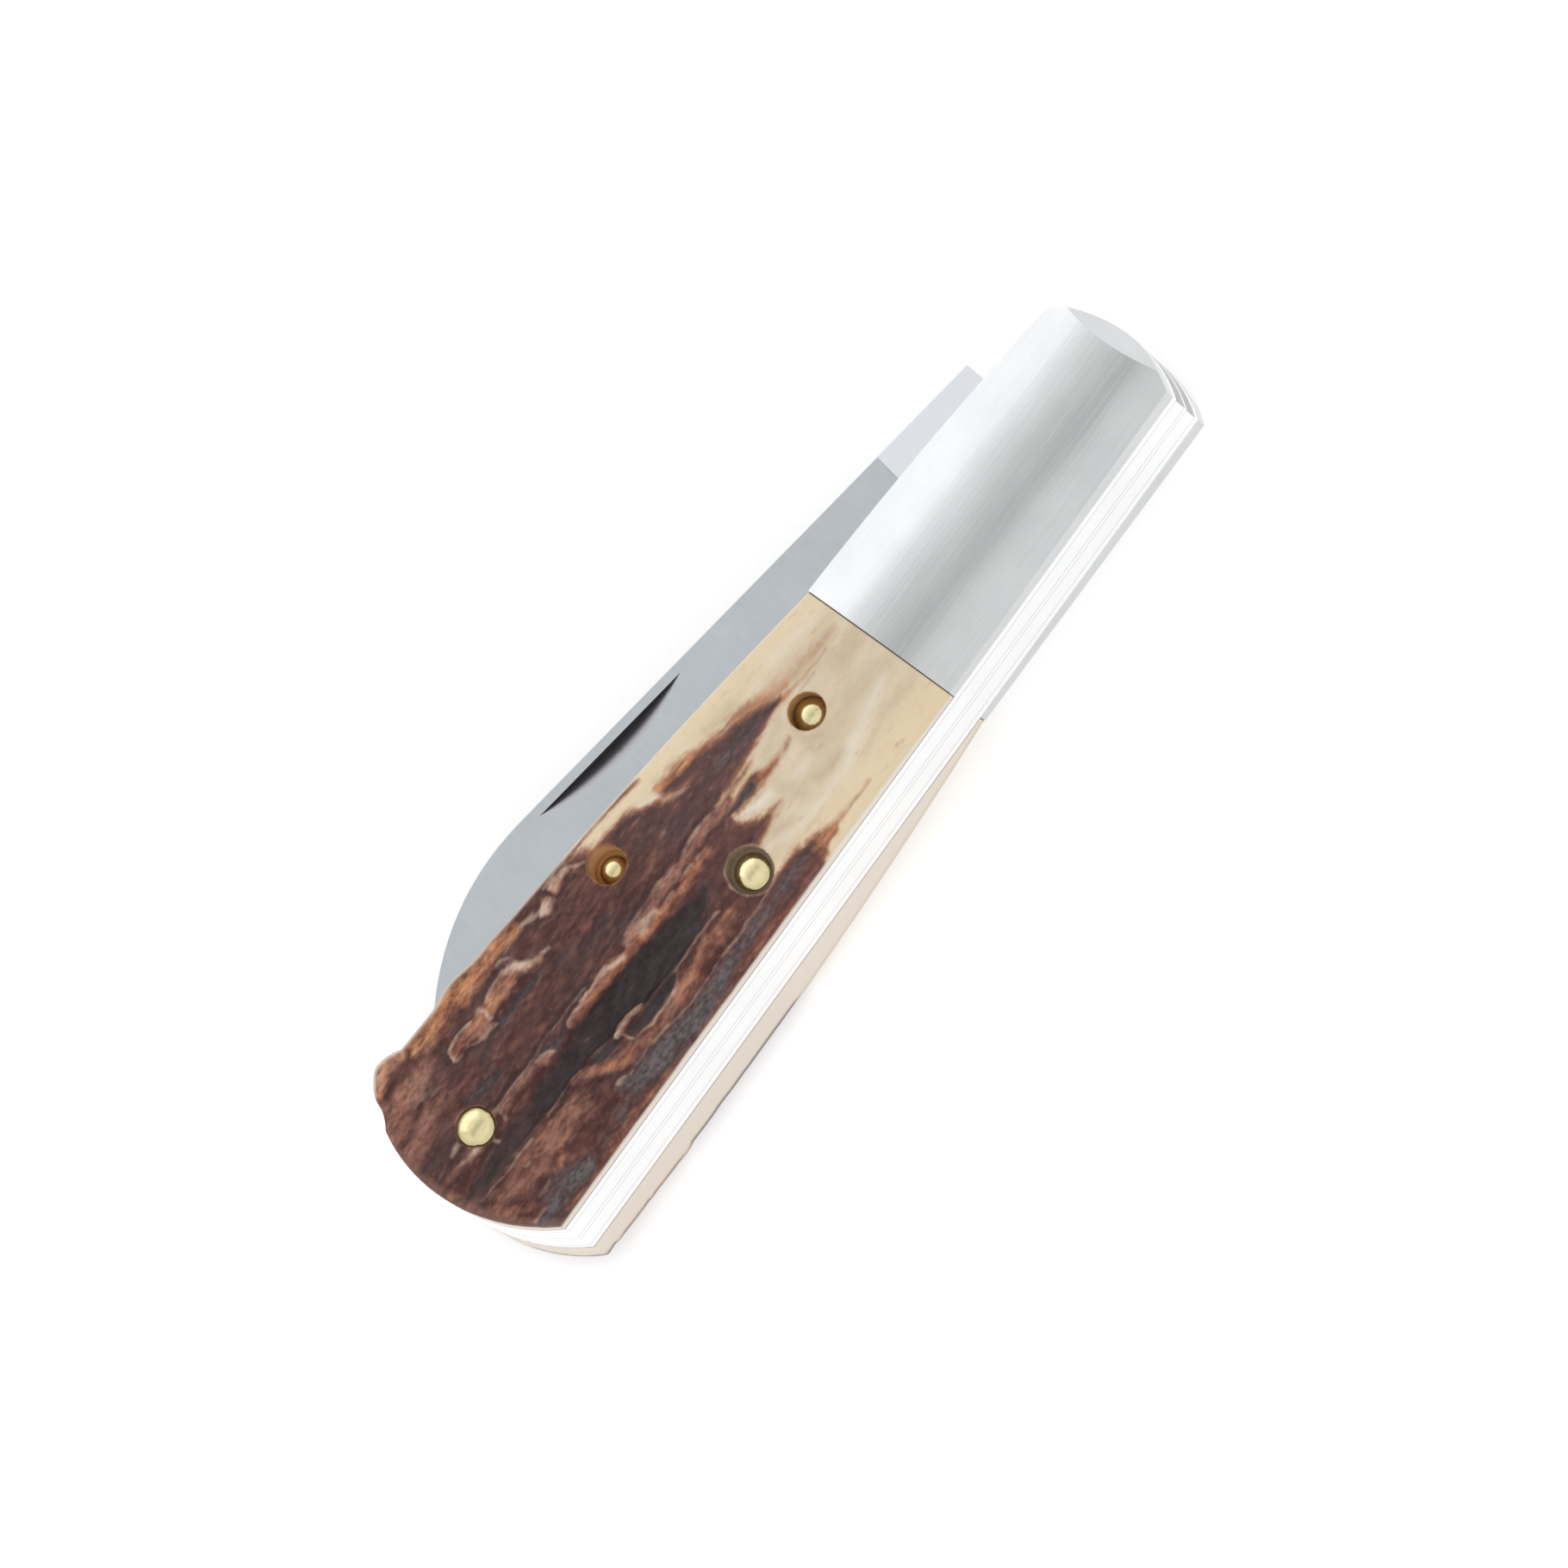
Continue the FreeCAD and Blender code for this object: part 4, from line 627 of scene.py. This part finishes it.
class Slab:
    """The CAD scale's outline, crown and pin seats, read off by rays."""

    def __init__(self, node, side, pins):
        self.tree = cad_tree(node)
        self.side = side
        low, high = (TO_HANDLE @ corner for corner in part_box(node))
        self.foot = low.z if side > 0 else high.z
        self.low = low
        self.high = high
        self.edge = None
        self.pins = []
        for pin in pins:
            centre = centre_of(pin)
            seat = self.height(centre.x + SEAT_PROBE, centre.y)
            bore = self.reach(centre, seat + BORE_PROBE)
            shank = self.reach(centre, seat / 2)
            self.pins.append((centre.x, centre.y, seat, bore, shank))

    def height(self, x, y):
        """The slab's height over the liner, or the nearest point's beside the slab and in a hole."""
        hit = self.tree.ray_cast(Vector((x, y, RAY_FROM.z * self.side)), Vector((0, 0, -self.side)))[0]
        if hit is None:
            hit = self.tree.find_nearest(Vector((x, y, self.foot + 4 * self.side)))[0]
        return self.side * (hit.z - self.foot)

    def reach(self, centre, height):
        """The radius of a pin's hole at a height."""
        start = Vector((centre.x, centre.y, self.foot + self.side * height))
        return self.tree.ray_cast(start, Vector((1, 0, 0)))[0].x - centre.x

    def edge_y(self, x):
        """The outline on the blade side."""
        start = Vector((x, RAY_FROM.y, self.foot + self.side * RAY_HEIGHT))
        return self.tree.ray_cast(start, Vector((0, -1, 0)))[0].y

    def butt_x(self, y):
        """The outline at the butt."""
        start = Vector((RAY_FROM.x, y, self.foot + self.side * RAY_HEIGHT))
        return self.tree.ray_cast(start, Vector((1, 0, 0)))[0].x

    def crown(self, x, y):
        """The crowned surface over the liner, with the pin seats bridged."""
        middle_x = (self.low.x + self.high.x) / 2
        middle_y = (self.low.y + self.high.y) / 2
        inner_x = x + (middle_x - x) * 0.005
        inner_y = np.minimum(y + (middle_y - y) * 0.005, np.interp(x, *self.edge) - 0.05)
        height = np.array([self.height(px, py) for px, py in zip(inner_x, inner_y)])
        turn = np.radians(np.arange(0, 360, RING_STEP))
        for px, py, _, bore, _ in self.pins:
            ring_x = px + (bore + RING_CLEAR) * np.cos(turn)
            ring_y = py + (bore + RING_CLEAR) * np.sin(turn)
            ring = np.array([self.height(rx, ry) for rx, ry in zip(ring_x, ring_y)])
            level = np.column_stack([ring_x, ring_y, np.ones(len(turn))])
            plane = np.linalg.lstsq(level, ring, rcond=None)[0]
            near = np.hypot(x - px, y - py) < bore + BRIDGE_CLEAR
            height[near] = plane[0] * x[near] + plane[1] * y[near] + plane[2]
        return height


def set_points(mesh, points):
    """Moves all of a mesh's points."""
    mesh.vertices.foreach_set("co", np.ascontiguousarray(points, dtype=np.float32).ravel())
    mesh.update()


def get_points(mesh):
    """All of a mesh's points, one a row."""
    points = np.empty(len(mesh.vertices) * 3, np.float32)
    mesh.vertices.foreach_get("co", points)
    return points.reshape(-1, 3).astype(float)


def antler_scale(name, node, side, pins, seed):
    """A slab of stag antler: polished near the bolster, rough bark with furrows towards the butt."""
    slab = Slab(node, side, pins)
    flip = side < 0

    def bark(x, y):
        """The crown, the marks' place as the lean shows it, the marks, and how far the bark drops."""
        crown = slab.crown(x, y)
        seen_y = y + (slab.foot * side + crown - MARK_LEVEL) * math.tan(LEAN)
        fields = antler_marks(x, seen_y, flip, seed)
        return crown, seen_y, fields, antler_relief(x, seen_y, fields, seed)

    # A flat grid with its border extruded down into a wall, closed below
    bpy.ops.object.select_all(action="DESELECT")
    bpy.ops.mesh.primitive_grid_add(x_subdivisions=ALONG, y_subdivisions=ACROSS, size=1.0)
    piece = new_object(name)
    bpy.ops.object.mode_set(mode="EDIT")
    bpy.ops.mesh.select_mode(type="EDGE")
    for _ in range(WALL_ROWS):
        bpy.ops.mesh.select_all(action="DESELECT")
        bpy.ops.mesh.select_non_manifold(use_wire=False, use_multi_face=False, use_non_contiguous=False,
                                         use_verts=False)
        bpy.ops.mesh.extrude_edges_move(TRANSFORM_OT_translate={"value": (0, 0, -1)})
    bpy.ops.mesh.edge_face_add()
    bpy.ops.mesh.select_all(action="SELECT")
    bpy.ops.mesh.normals_make_consistent(inside=False)
    bpy.ops.object.mode_set(mode="OBJECT")

    # Four border lines of the slab, and the patch between them
    flat = get_points(piece.data)
    s = flat[:, 0] + 0.5
    t = flat[:, 1] + 0.5
    row = np.rint(-flat[:, 2])
    i = np.rint(s * ALONG).astype(int)
    j = np.rint(t * ACROSS).astype(int)
    share_s = np.linspace(0, 1, ALONG + 1)
    share_t = np.linspace(0, 1, ACROSS + 1)
    corner_x = slab.low.x + BUTT_CORNER
    corner_y = slab.edge_y(corner_x)
    back_x = slab.butt_x(RAY_INSET)
    joint_y = slab.edge_y(-RAY_INSET)
    spine_x = back_x * (1 - share_s)
    edge_x = corner_x * (1 - share_s)
    edge_y = np.array([slab.edge_y(min(x, -RAY_INSET)) for x in edge_x])
    slab.edge = edge_x, edge_y
    edge_y = edge_y + sum(rise * (1 - smooth(np.abs(edge_x - at), 0, half)) for at, half, rise in EDGE_SWELLS)
    butt_y = corner_y * share_t
    butt_x = np.array([slab.butt_x(max(y, RAY_INSET)) for y in butt_y])
    joint_line = joint_y * share_t
    x = ((1 - t) * spine_x[i] + t * edge_x[i] + (1 - s) * butt_x[j]
         - (1 - s) * (1 - t) * back_x - (1 - s) * t * corner_x)
    y = (t * edge_y[i] + (1 - s) * butt_y[j] + s * joint_line[j] - s * t * joint_y - (1 - s) * t * corner_y)
    width = edge_y[i]
    length = -butt_x[j]

    # Crown, bark, rounded edges and rims
    crown, _, _, drop = bark(x, y)
    fade = smooth((1 - t) * width, 0.0, 1.4) * smooth(s * length, -0.4, 1.0)
    top = crown - drop * fade
    top -= (rounded(t * width, ROUND_BACK) + rounded((1 - t) * width, ROUND_BLADE_SIDE)
            + rounded(s * length, ROUND_BUTT))
    top -= rounded((1 - s) * length, ROUND_JOINT)
    for px, py, _, bore, _ in slab.pins:
        top -= rounded(np.maximum(np.hypot(x - px, y - py) - bore, 0), ROUND_RIM)
    height = np.minimum(top, slab.high.z - slab.low.z) * (1 - row / WALL_ROWS)
    set_points(piece.data, np.column_stack([x, y, slab.foot + side * height]))
    if flip:
        piece.data.flip_normals()

    # Pin seats and holes
    for pin, (px, py, seat, bore, shank) in zip(pins, slab.pins):
        cuts = [(bore, seat, CUT_TOP, 0.0), (shank, -CUT_BELOW, seat + CUT_OVERLAP, 0.0)]
        if "edge" in pin:
            start = seat + bore * math.sin(RECESS_LEAN)
            cuts.append((bore, start, start + LEANING_CUT, RECESS_LEAN))
        for radius, low, high, lean in cuts:
            bpy.ops.object.select_all(action="DESELECT")
            reach = (high - low) / 2
            at = (px, py + reach * math.sin(lean), slab.foot + side * (low + reach * math.cos(lean)))
            bpy.ops.mesh.primitive_cylinder_add(vertices=PIN_SIDES, radius=radius, depth=high - low,
                                                location=at, rotation=(-side * lean, 0, 0))
            cut(piece, bpy.context.active_object)

    # Marks that the material reads
    points = get_points(piece.data)
    x = points[:, 0]
    y = points[:, 1]
    height = side * (points[:, 2] - slab.foot)
    crown, seen_y, fields, drop = bark(x, y)
    under = crown - drop - height
    # Painted shade and highlight: whether a point lies lower or higher than the places round it
    around = [antler_relief(x + dx, seen_y + dy, antler_marks(x + dx, seen_y + dy, flip, seed), seed)
              for dx, dy in NEIGHBOURS]
    fields["relief_shade_and_highlight"] = smooth(sum(around) / len(NEIGHBOURS) - drop, -0.16, 0.16)
    fields["core"] = smooth(under, 0.35, 0.9)
    inside = np.interp(x, edge_x, edge_y) - y
    # Painted glow of light through the antler where it thins towards its edges
    fields["thin"] = 1 - smooth(np.minimum(y, inside), 0.3, 5.0)
    fields["rim"] = 1 - smooth(np.minimum(1.5 * inside, x - np.interp(y, butt_y, butt_x)), 0.1, 1.3)
    # Painted highlight along the rounded top edge on the blade side
    fields["lip"] = 1 - smooth(inside, 0.15, 0.5)
    fields["bore"] = np.zeros_like(x)
    fields["painted_recess_shade"] = np.zeros_like(x)
    for pin, (px, py, seat, bore, _) in zip(pins, slab.pins):
        away = np.hypot(x - px, y - py) - bore
        wall = away
        if "edge" in pin:
            across = (y - py) * math.cos(RECESS_LEAN) - (height - seat) * math.sin(RECESS_LEAN)
            wall = np.minimum(away, np.hypot(x - px, across + bore * math.sin(RECESS_LEAN) ** 2) - bore)
        wall = (1 - smooth(wall, 0.02, 0.06)) * smooth(under, -0.05, 0.05)
        # Each recess wall gets a painted amber glow for light through thin antler and painted shade, and
        # crumbs round its rim
        amber, painted_recess_shade, crumbs = RECESS[pin.removeprefix("front_").removeprefix("rear_")]
        fields["bore"] = np.maximum(fields["bore"], amber * wall)
        fields["painted_recess_shade"] = np.maximum(fields["painted_recess_shade"], painted_recess_shade * wall)
        fields["crust"] = np.maximum(fields["crust"], crumbs * (1 - smooth(np.abs(away - 0.12), 0.05, 0.2)))
    for kind, field in fields.items():
        piece.data.attributes.new(kind, "FLOAT", "POINT").data.foreach_set("value", field.astype(np.float32))
    piece.data.transform(HANDLE)
    select_only(piece)
    bpy.ops.object.shade_smooth_by_angle(angle=SMOOTH_ANGLE)
    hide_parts(node)
    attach(piece, "handle")
    return piece


def stag_antler():
    """Stag antler, sawn and polished: smoky ivory near the bolster, bark in burnt and rusty browns."""
    material, tree, shader, place = new_material("stag_antler_polished_bark")
    marks = {name: add(tree, "Attribute", attribute_name=name).outputs["Fac"]
             for name in (*MARKS, "relief_shade_and_highlight", "core", "thin", "rim", "lip", "bore", "painted_recess_shade")}
    noise = {}
    for name, length, width, detail, fine in (
            ("fibre", 2.4, 0.26, 4.0, 0.55), ("cloud", 6.0, 2.5, 4.0, 0.55),
            ("blotch", 1.7, 0.8, 4.0, 0.52), ("fleck", 0.55, 0.3, 3.0, 0.5)):
        at = add(tree, "Mapping", {"Vector": place, "Scale": (1000 / length, 1000 / width, 1000 / width)})
        noise[name] = add(tree, "TexNoise", {"Vector": at, "Scale": 1.0, "Detail": detail, "Roughness": fine})
    mixed = add(tree, "Math", {0: noise["fleck"], 1: 0.6, 2: noise["blotch"]}, operation="MULTIPLY_ADD")
    mottle = add(tree, "MapRange", {0: mixed, 1: 0.6, 2: 1.0})
    along = add(tree, "SeparateXYZ", {0: place}).outputs[0]

    # Ivory: clouds, a painted glow of light through the antler, lighter and yellower towards its thin edges,
    # smoky smears and chalky streaks
    clouded = add(tree, "MapRange", {0: noise["cloud"], 1: 0.35, 2: 0.62})
    ivory = add(tree, "Mix", {0: clouded, 6: linear("#e2d3ba"), 7: linear("#d2c0a2")}, data_type="RGBA")
    for kind, shade in (("thin", "#ecd8b4"), ("smoke", "#b7a189"), ("chalk", "#ece4d6")):
        share = add(tree, "Math", {0: marks[kind], 1: 0.8}, operation="MULTIPLY")
        ivory = add(tree, "Mix", {0: share, 6: ivory, 7: linear(shade)}, data_type="RGBA")

    # Bark: fine mottling, greyer towards the bolster, thin dark streaks, pale flecks and cold grey clouds,
    # painted shade in its hollows, painted highlight where it stands proud, and pale along its rubbed rims
    brown = add(tree, "Mix", {0: mottle, 6: linear("#40221e"), 7: linear("#623b34")}, data_type="RGBA")
    near = add(tree, "MapRange", {0: along, 1: ORIGIN.x - 28 * MM, 2: ORIGIN.x - 12 * MM, 3: 0.0, 4: 0.5})
    brown = add(tree, "Mix", {0: near, 6: brown, 7: linear("#6a504e")}, data_type="RGBA")
    frayed = add(tree, "Math", {0: noise["blotch"], 1: 0.6, 2: marks["rim"]}, operation="MULTIPLY_ADD")
    for source, low, high, most, shade in (
            (noise["fibre"], 0.42, 0.3, 0.35, "#331e1c"), (noise["blotch"], 0.52, 0.68, 0.45, "#7d4f41"),
            (noise["fleck"], 0.6, 0.74, 0.3, "#8a6557"), (noise["cloud"], 0.5, 0.66, 0.55, "#45383c"),
            (noise["cloud"], 0.46, 0.34, 0.4, "#6e463d"), (marks["relief_shade_and_highlight"], 0.45, 0.2, 0.5, "#2f1f1e"),
            (marks["relief_shade_and_highlight"], 0.55, 0.9, 0.55, "#8d6658"), (frayed, 0.5, 1.3, 0.28, "#b08a7e")):
        share = add(tree, "MapRange", {0: source, 1: low, 2: high, 3: 0.0, 4: most})
        brown = add(tree, "Mix", {0: share, 6: brown, 7: linear(shade)}, data_type="RGBA")

    # The bark's smoky border: ivory, tan, russet, brown
    border = marks["skin"]
    for name, share in (("fleck", 0.45), ("blotch", 0.45), ("fibre", 0.3)):
        border = add(tree, "Math", {0: noise[name], 1: share, 2: border}, operation="MULTIPLY_ADD")
    colour = ivory
    for low, high, shade in ((0.6, 1.05, "#c9a283"), (0.8, 1.25, "#8f6049"), (1.0, 1.5, None)):
        share = add(tree, "MapRange", {0: border, 1: low, 2: high}, interpolation_type="SMOOTHSTEP")
        tone = linear(shade) if shade else brown
        colour = add(tree, "Mix", {0: share, 6: colour, 7: tone}, data_type="RGBA")

    # Ridges, rust, orange embers, ash, furrows and pale crusts, each mottled between two tones; some furrow
    # and ash strokes are painted shadow
    speckle = add(tree, "MapRange", {0: noise["fleck"], 1: 0.36, 2: 0.64})
    for kind, tones, dark, light, most in (("ridge", mottle, "#72443a", "#b58570", 0.76),
                                           ("rust", mottle, "#764133", "#b47b61", 0.82),
                                           ("ember", mottle, "#864a32", "#d89a6c", 0.92),
                                           ("ash_and_shadow", speckle, "#474548", "#706c6e", 0.76),
                                           ("furrow_and_shadow", mottle, "#271f21", "#3d3435", 0.95),
                                           ("crust", mottle, "#b08b78", "#e0c9b3", 0.88)):
        tone = add(tree, "Mix", {0: tones, 6: linear(dark), 7: linear(light)}, data_type="RGBA")
        ragged = add(tree, "Math", {0: noise["blotch"], 1: 0.5, 2: marks[kind]}, operation="MULTIPLY_ADD")
        share = add(tree, "MapRange", {0: ragged, 1: 0.33, 2: 1.1, 3: 0.0, 4: most})
        colour = add(tree, "Mix", {0: share, 6: colour, 7: tone}, data_type="RGBA")

    # A painted highlight along the top edge, the pale core of the sawn walls, and on the walls of the pin
    # recesses a painted amber glow for light through thin antler and painted shade
    for kind, most, shade in (("lip", 0.7, "#f3e9df"), ("core", 1.0, "#f4e8da"), ("bore", 1.0, "#b47c3e"),
                              ("painted_recess_shade", 1.0, "#6e604b")):
        share = add(tree, "Math", {0: marks[kind], 1: most}, operation="MULTIPLY")
        colour = add(tree, "Mix", {0: share, 6: colour, 7: linear(shade)}, data_type="RGBA")

    # A dark hair line where the antler meets the bolster, and a painted shadow line in the gap where it meets
    # the liner
    seam = add(tree, "MapRange", {0: along, 1: ORIGIN.x - 0.16 * MM, 2: ORIGIN.x - 0.06 * MM})
    # Painted shadow in the gap between the antler's foot and the liner
    foot = add(tree, "MapRange",
               {0: off_middle(tree, place), 1: SHEETS[-1] + 0.14 * MM, 2: SHEETS[-1] + 0.06 * MM})
    dark_seam = add(tree, "Math", {0: seam, 1: foot}, operation="MAXIMUM")
    colour = add(tree, "Mix", {0: dark_seam, 6: colour, 7: linear("#6b6259")}, data_type="RGBA")
    tree.links.new(colour.outputs[2], shader.inputs["Base Color"])
    rough = add(tree, "MapRange", {0: marks["skin"], 3: 0.36, 4: 0.55})
    tree.links.new(rough.outputs[0], shader.inputs["Roughness"])
    shader.inputs["Specular IOR Level"].default_value = 0.24
    pits = add(tree, "Math", {0: noise["fibre"], 1: 0.6, 2: mixed}, operation="MULTIPLY_ADD")
    ripple = add(tree, "Math", {0: pits, 1: marks["skin"]}, operation="MULTIPLY")
    bump = add(tree, "Bump", {"Strength": 0.55, "Distance": 0.06 * MM, "Height": ripple})
    tree.links.new(bump.outputs[0], shader.inputs["Normal"])
    return material


def dress(material, *pieces):
    """Gives pieces one material and no other."""
    for piece in pieces:
        piece.data.materials.clear()
        piece.data.materials.append(material)


# Antler
front = antler_scale("front_antler", "front_scale", 1,
                     ("front_joint_pin", "front_edge_pin", "spring_pin", "butt_pin"), seed=11)
rear = antler_scale("rear_antler", "rear_scale", -1,
                    ("rear_joint_pin", "rear_edge_pin", "spring_pin", "butt_pin"), seed=47)
dress(stag_antler(), front, rear)

# Metals. The closed blades lie at an angle to the handle. The nickel silver of the bolsters is satin ground
# along the handle, which gives it a soft sheen.
fold = math.radians(180 - frame["joints"][0]["range_deg"][1])
for blade in ("main_blade", "pen_blade"):
    dress(blade_steel(blade, fold), nodes[blade])
for metal, names in (
        (sheet_metal("spring_steel_belt_polished", "#f6f6f7", "#eeeff0", 0.3), ("main_spring", "pen_spring")),
        (sheet_metal("stainless_sheet_rolled", "#f8f8f9", "#f1f1f2", 0.32),
         ("front_liner", "centre_liner", "rear_liner")),
        (ground_metal("nickel_silver_satin_ground", "#d3d4d5", "#c6c8c9", 0.22, 0.14, 14.0)[0],
         ("front_bolster", "rear_bolster", "pivot_pin", "front_joint_rivet", "front_nose_rivet",
          "rear_joint_rivet", "rear_nose_rivet")),
        (pin_brass("brass_peened", "#eadfb2", "#d5c898", 0.2),
         ("spring_pin", "butt_pin", "front_joint_pin", "front_edge_pin", "rear_joint_pin", "rear_edge_pin"))):
    dress(metal, *(nodes[name] for name in names))

# Floor
FLOOR_SIZE = 6.0
FLOOR_LIFT = 0.42
bpy.ops.object.select_all(action="DESELECT")
bpy.ops.mesh.primitive_plane_add(size=FLOOR_SIZE)
floor = new_object("studio_floor")
material, tree, shader, _ = new_material("studio_paper_white")
shader.inputs["Base Color"].default_value = linear("#e9e9e9")
shader.inputs["Roughness"].default_value = 0.9
lift = add(tree, "Math", {0: seen_rays(tree), 1: FLOOR_LIFT}, operation="MULTIPLY")
shader.inputs["Emission Color"].default_value = (1, 1, 1, 1)
tree.links.new(lift.outputs[0], shader.inputs["Emission Strength"])
dress(material, floor)

# Soft studio light, and a white background for the rays that see it
ROOM_LIGHT = 0.7
world = bpy.data.worlds.new("studio")
bpy.context.scene.world = world
world.use_nodes = True
tree = world.node_tree
tree.nodes.clear()
strength = add(tree, "MapRange", {0: seen_rays(tree), 3: ROOM_LIGHT, 4: 1.0})
sky = add(tree, "Background", {"Color": (1, 1, 1, 1), "Strength": strength})
add(tree, "OutputWorld", {"Surface": sky})


def softbox(name, direction, distance, width, depth, glow):
    """An oblong soft lamp that looks at the knife from a direction and adds a glow to the room's light."""
    lamp = bpy.data.lights.new(name, "AREA")
    lamp.shape = "RECTANGLE"
    lamp.size = width
    lamp.size_y = depth
    lamp.energy = glow * math.pi * width * depth
    holder = bpy.data.objects.new(name, lamp)
    bpy.context.scene.collection.objects.link(holder)
    way = Vector(direction).normalized()
    holder.location = way * distance
    holder.rotation_euler = way.to_track_quat("Z", "Y").to_euler()
    holder.visible_camera = False
    return holder


softbox("blade_side_softbox", (0.0, 0.87, 0.46), distance=1.0, width=1.6, depth=0.75, glow=0.56)
key = softbox("key_softbox", (-0.35, -0.55, 0.75), distance=1.0, width=0.5, depth=0.5, glow=3.0)
key.visible_glossy = False

# A grey flag over the knife, seen only in the metal: darkest at its edge on the spine's side
FLAG_HEIGHT = 1.3
FLAG_EDGE = -0.065
FLAG_END = 1.1
FLAG_LENGTH = 2.4
FLAG_GLOW = (0.58, 1.25)
bpy.ops.object.select_all(action="DESELECT")
bpy.ops.mesh.primitive_plane_add(size=1.0)
flag = new_object("studio_flag")
flag.scale = (FLAG_LENGTH, FLAG_END - FLAG_EDGE, 1)
flag.location = (0, (FLAG_EDGE + FLAG_END) / 2, FLAG_HEIGHT)
bpy.ops.object.transform_apply(location=True, rotation=True, scale=True)
material, tree, shader, place = new_material("flag_grey_cloth")
across = add(tree, "SeparateXYZ", {0: place}).outputs[1]
glow = add(tree, "MapRange", {0: across, 1: FLAG_EDGE, 2: FLAG_END, 3: FLAG_GLOW[0], 4: FLAG_GLOW[1]})
shader.inputs["Base Color"].default_value = (0, 0, 0, 1)
shader.inputs["Specular IOR Level"].default_value = 0.0
shader.inputs["Emission Color"].default_value = (1, 1, 1, 1)
tree.links.new(glow.outputs[0], shader.inputs["Emission Strength"])
dress(material, flag)
flag.visible_camera = False
flag.visible_diffuse = False
flag.visible_shadow = False

# Camera at the photograph's angle
view = Vector((0, -math.sin(LEAN), math.cos(LEAN)))
along = Vector((1, 0, 0))
spineward = view.cross(along) * -1
right = along * math.cos(ROLL) + spineward * math.sin(ROLL)
up = along * math.sin(ROLL) - spineward * math.cos(ROLL)
aim_right = (PICTURE / 2 - ORIGIN_PIXEL[0]) / PIXELS_PER_MM
aim_up = (ORIGIN_PIXEL[1] - PICTURE / 2) / PIXELS_PER_MM
aim = ORIGIN + (right * aim_right + up * aim_up) * MM
camera_data = bpy.data.cameras.new("camera")
camera_data.sensor_width = SENSOR
camera_data.lens = SENSOR * CAMERA_DISTANCE * PIXELS_PER_MM / PICTURE
camera = bpy.data.objects.new("camera", camera_data)
bpy.context.scene.collection.objects.link(camera)
camera.matrix_world = Matrix.Translation(aim + view * CAMERA_DISTANCE * MM) @ Matrix(
    (right, up, view)).transposed().to_4x4()
bpy.context.scene.camera = camera
bpy.context.scene.view_settings.view_transform = "Standard"
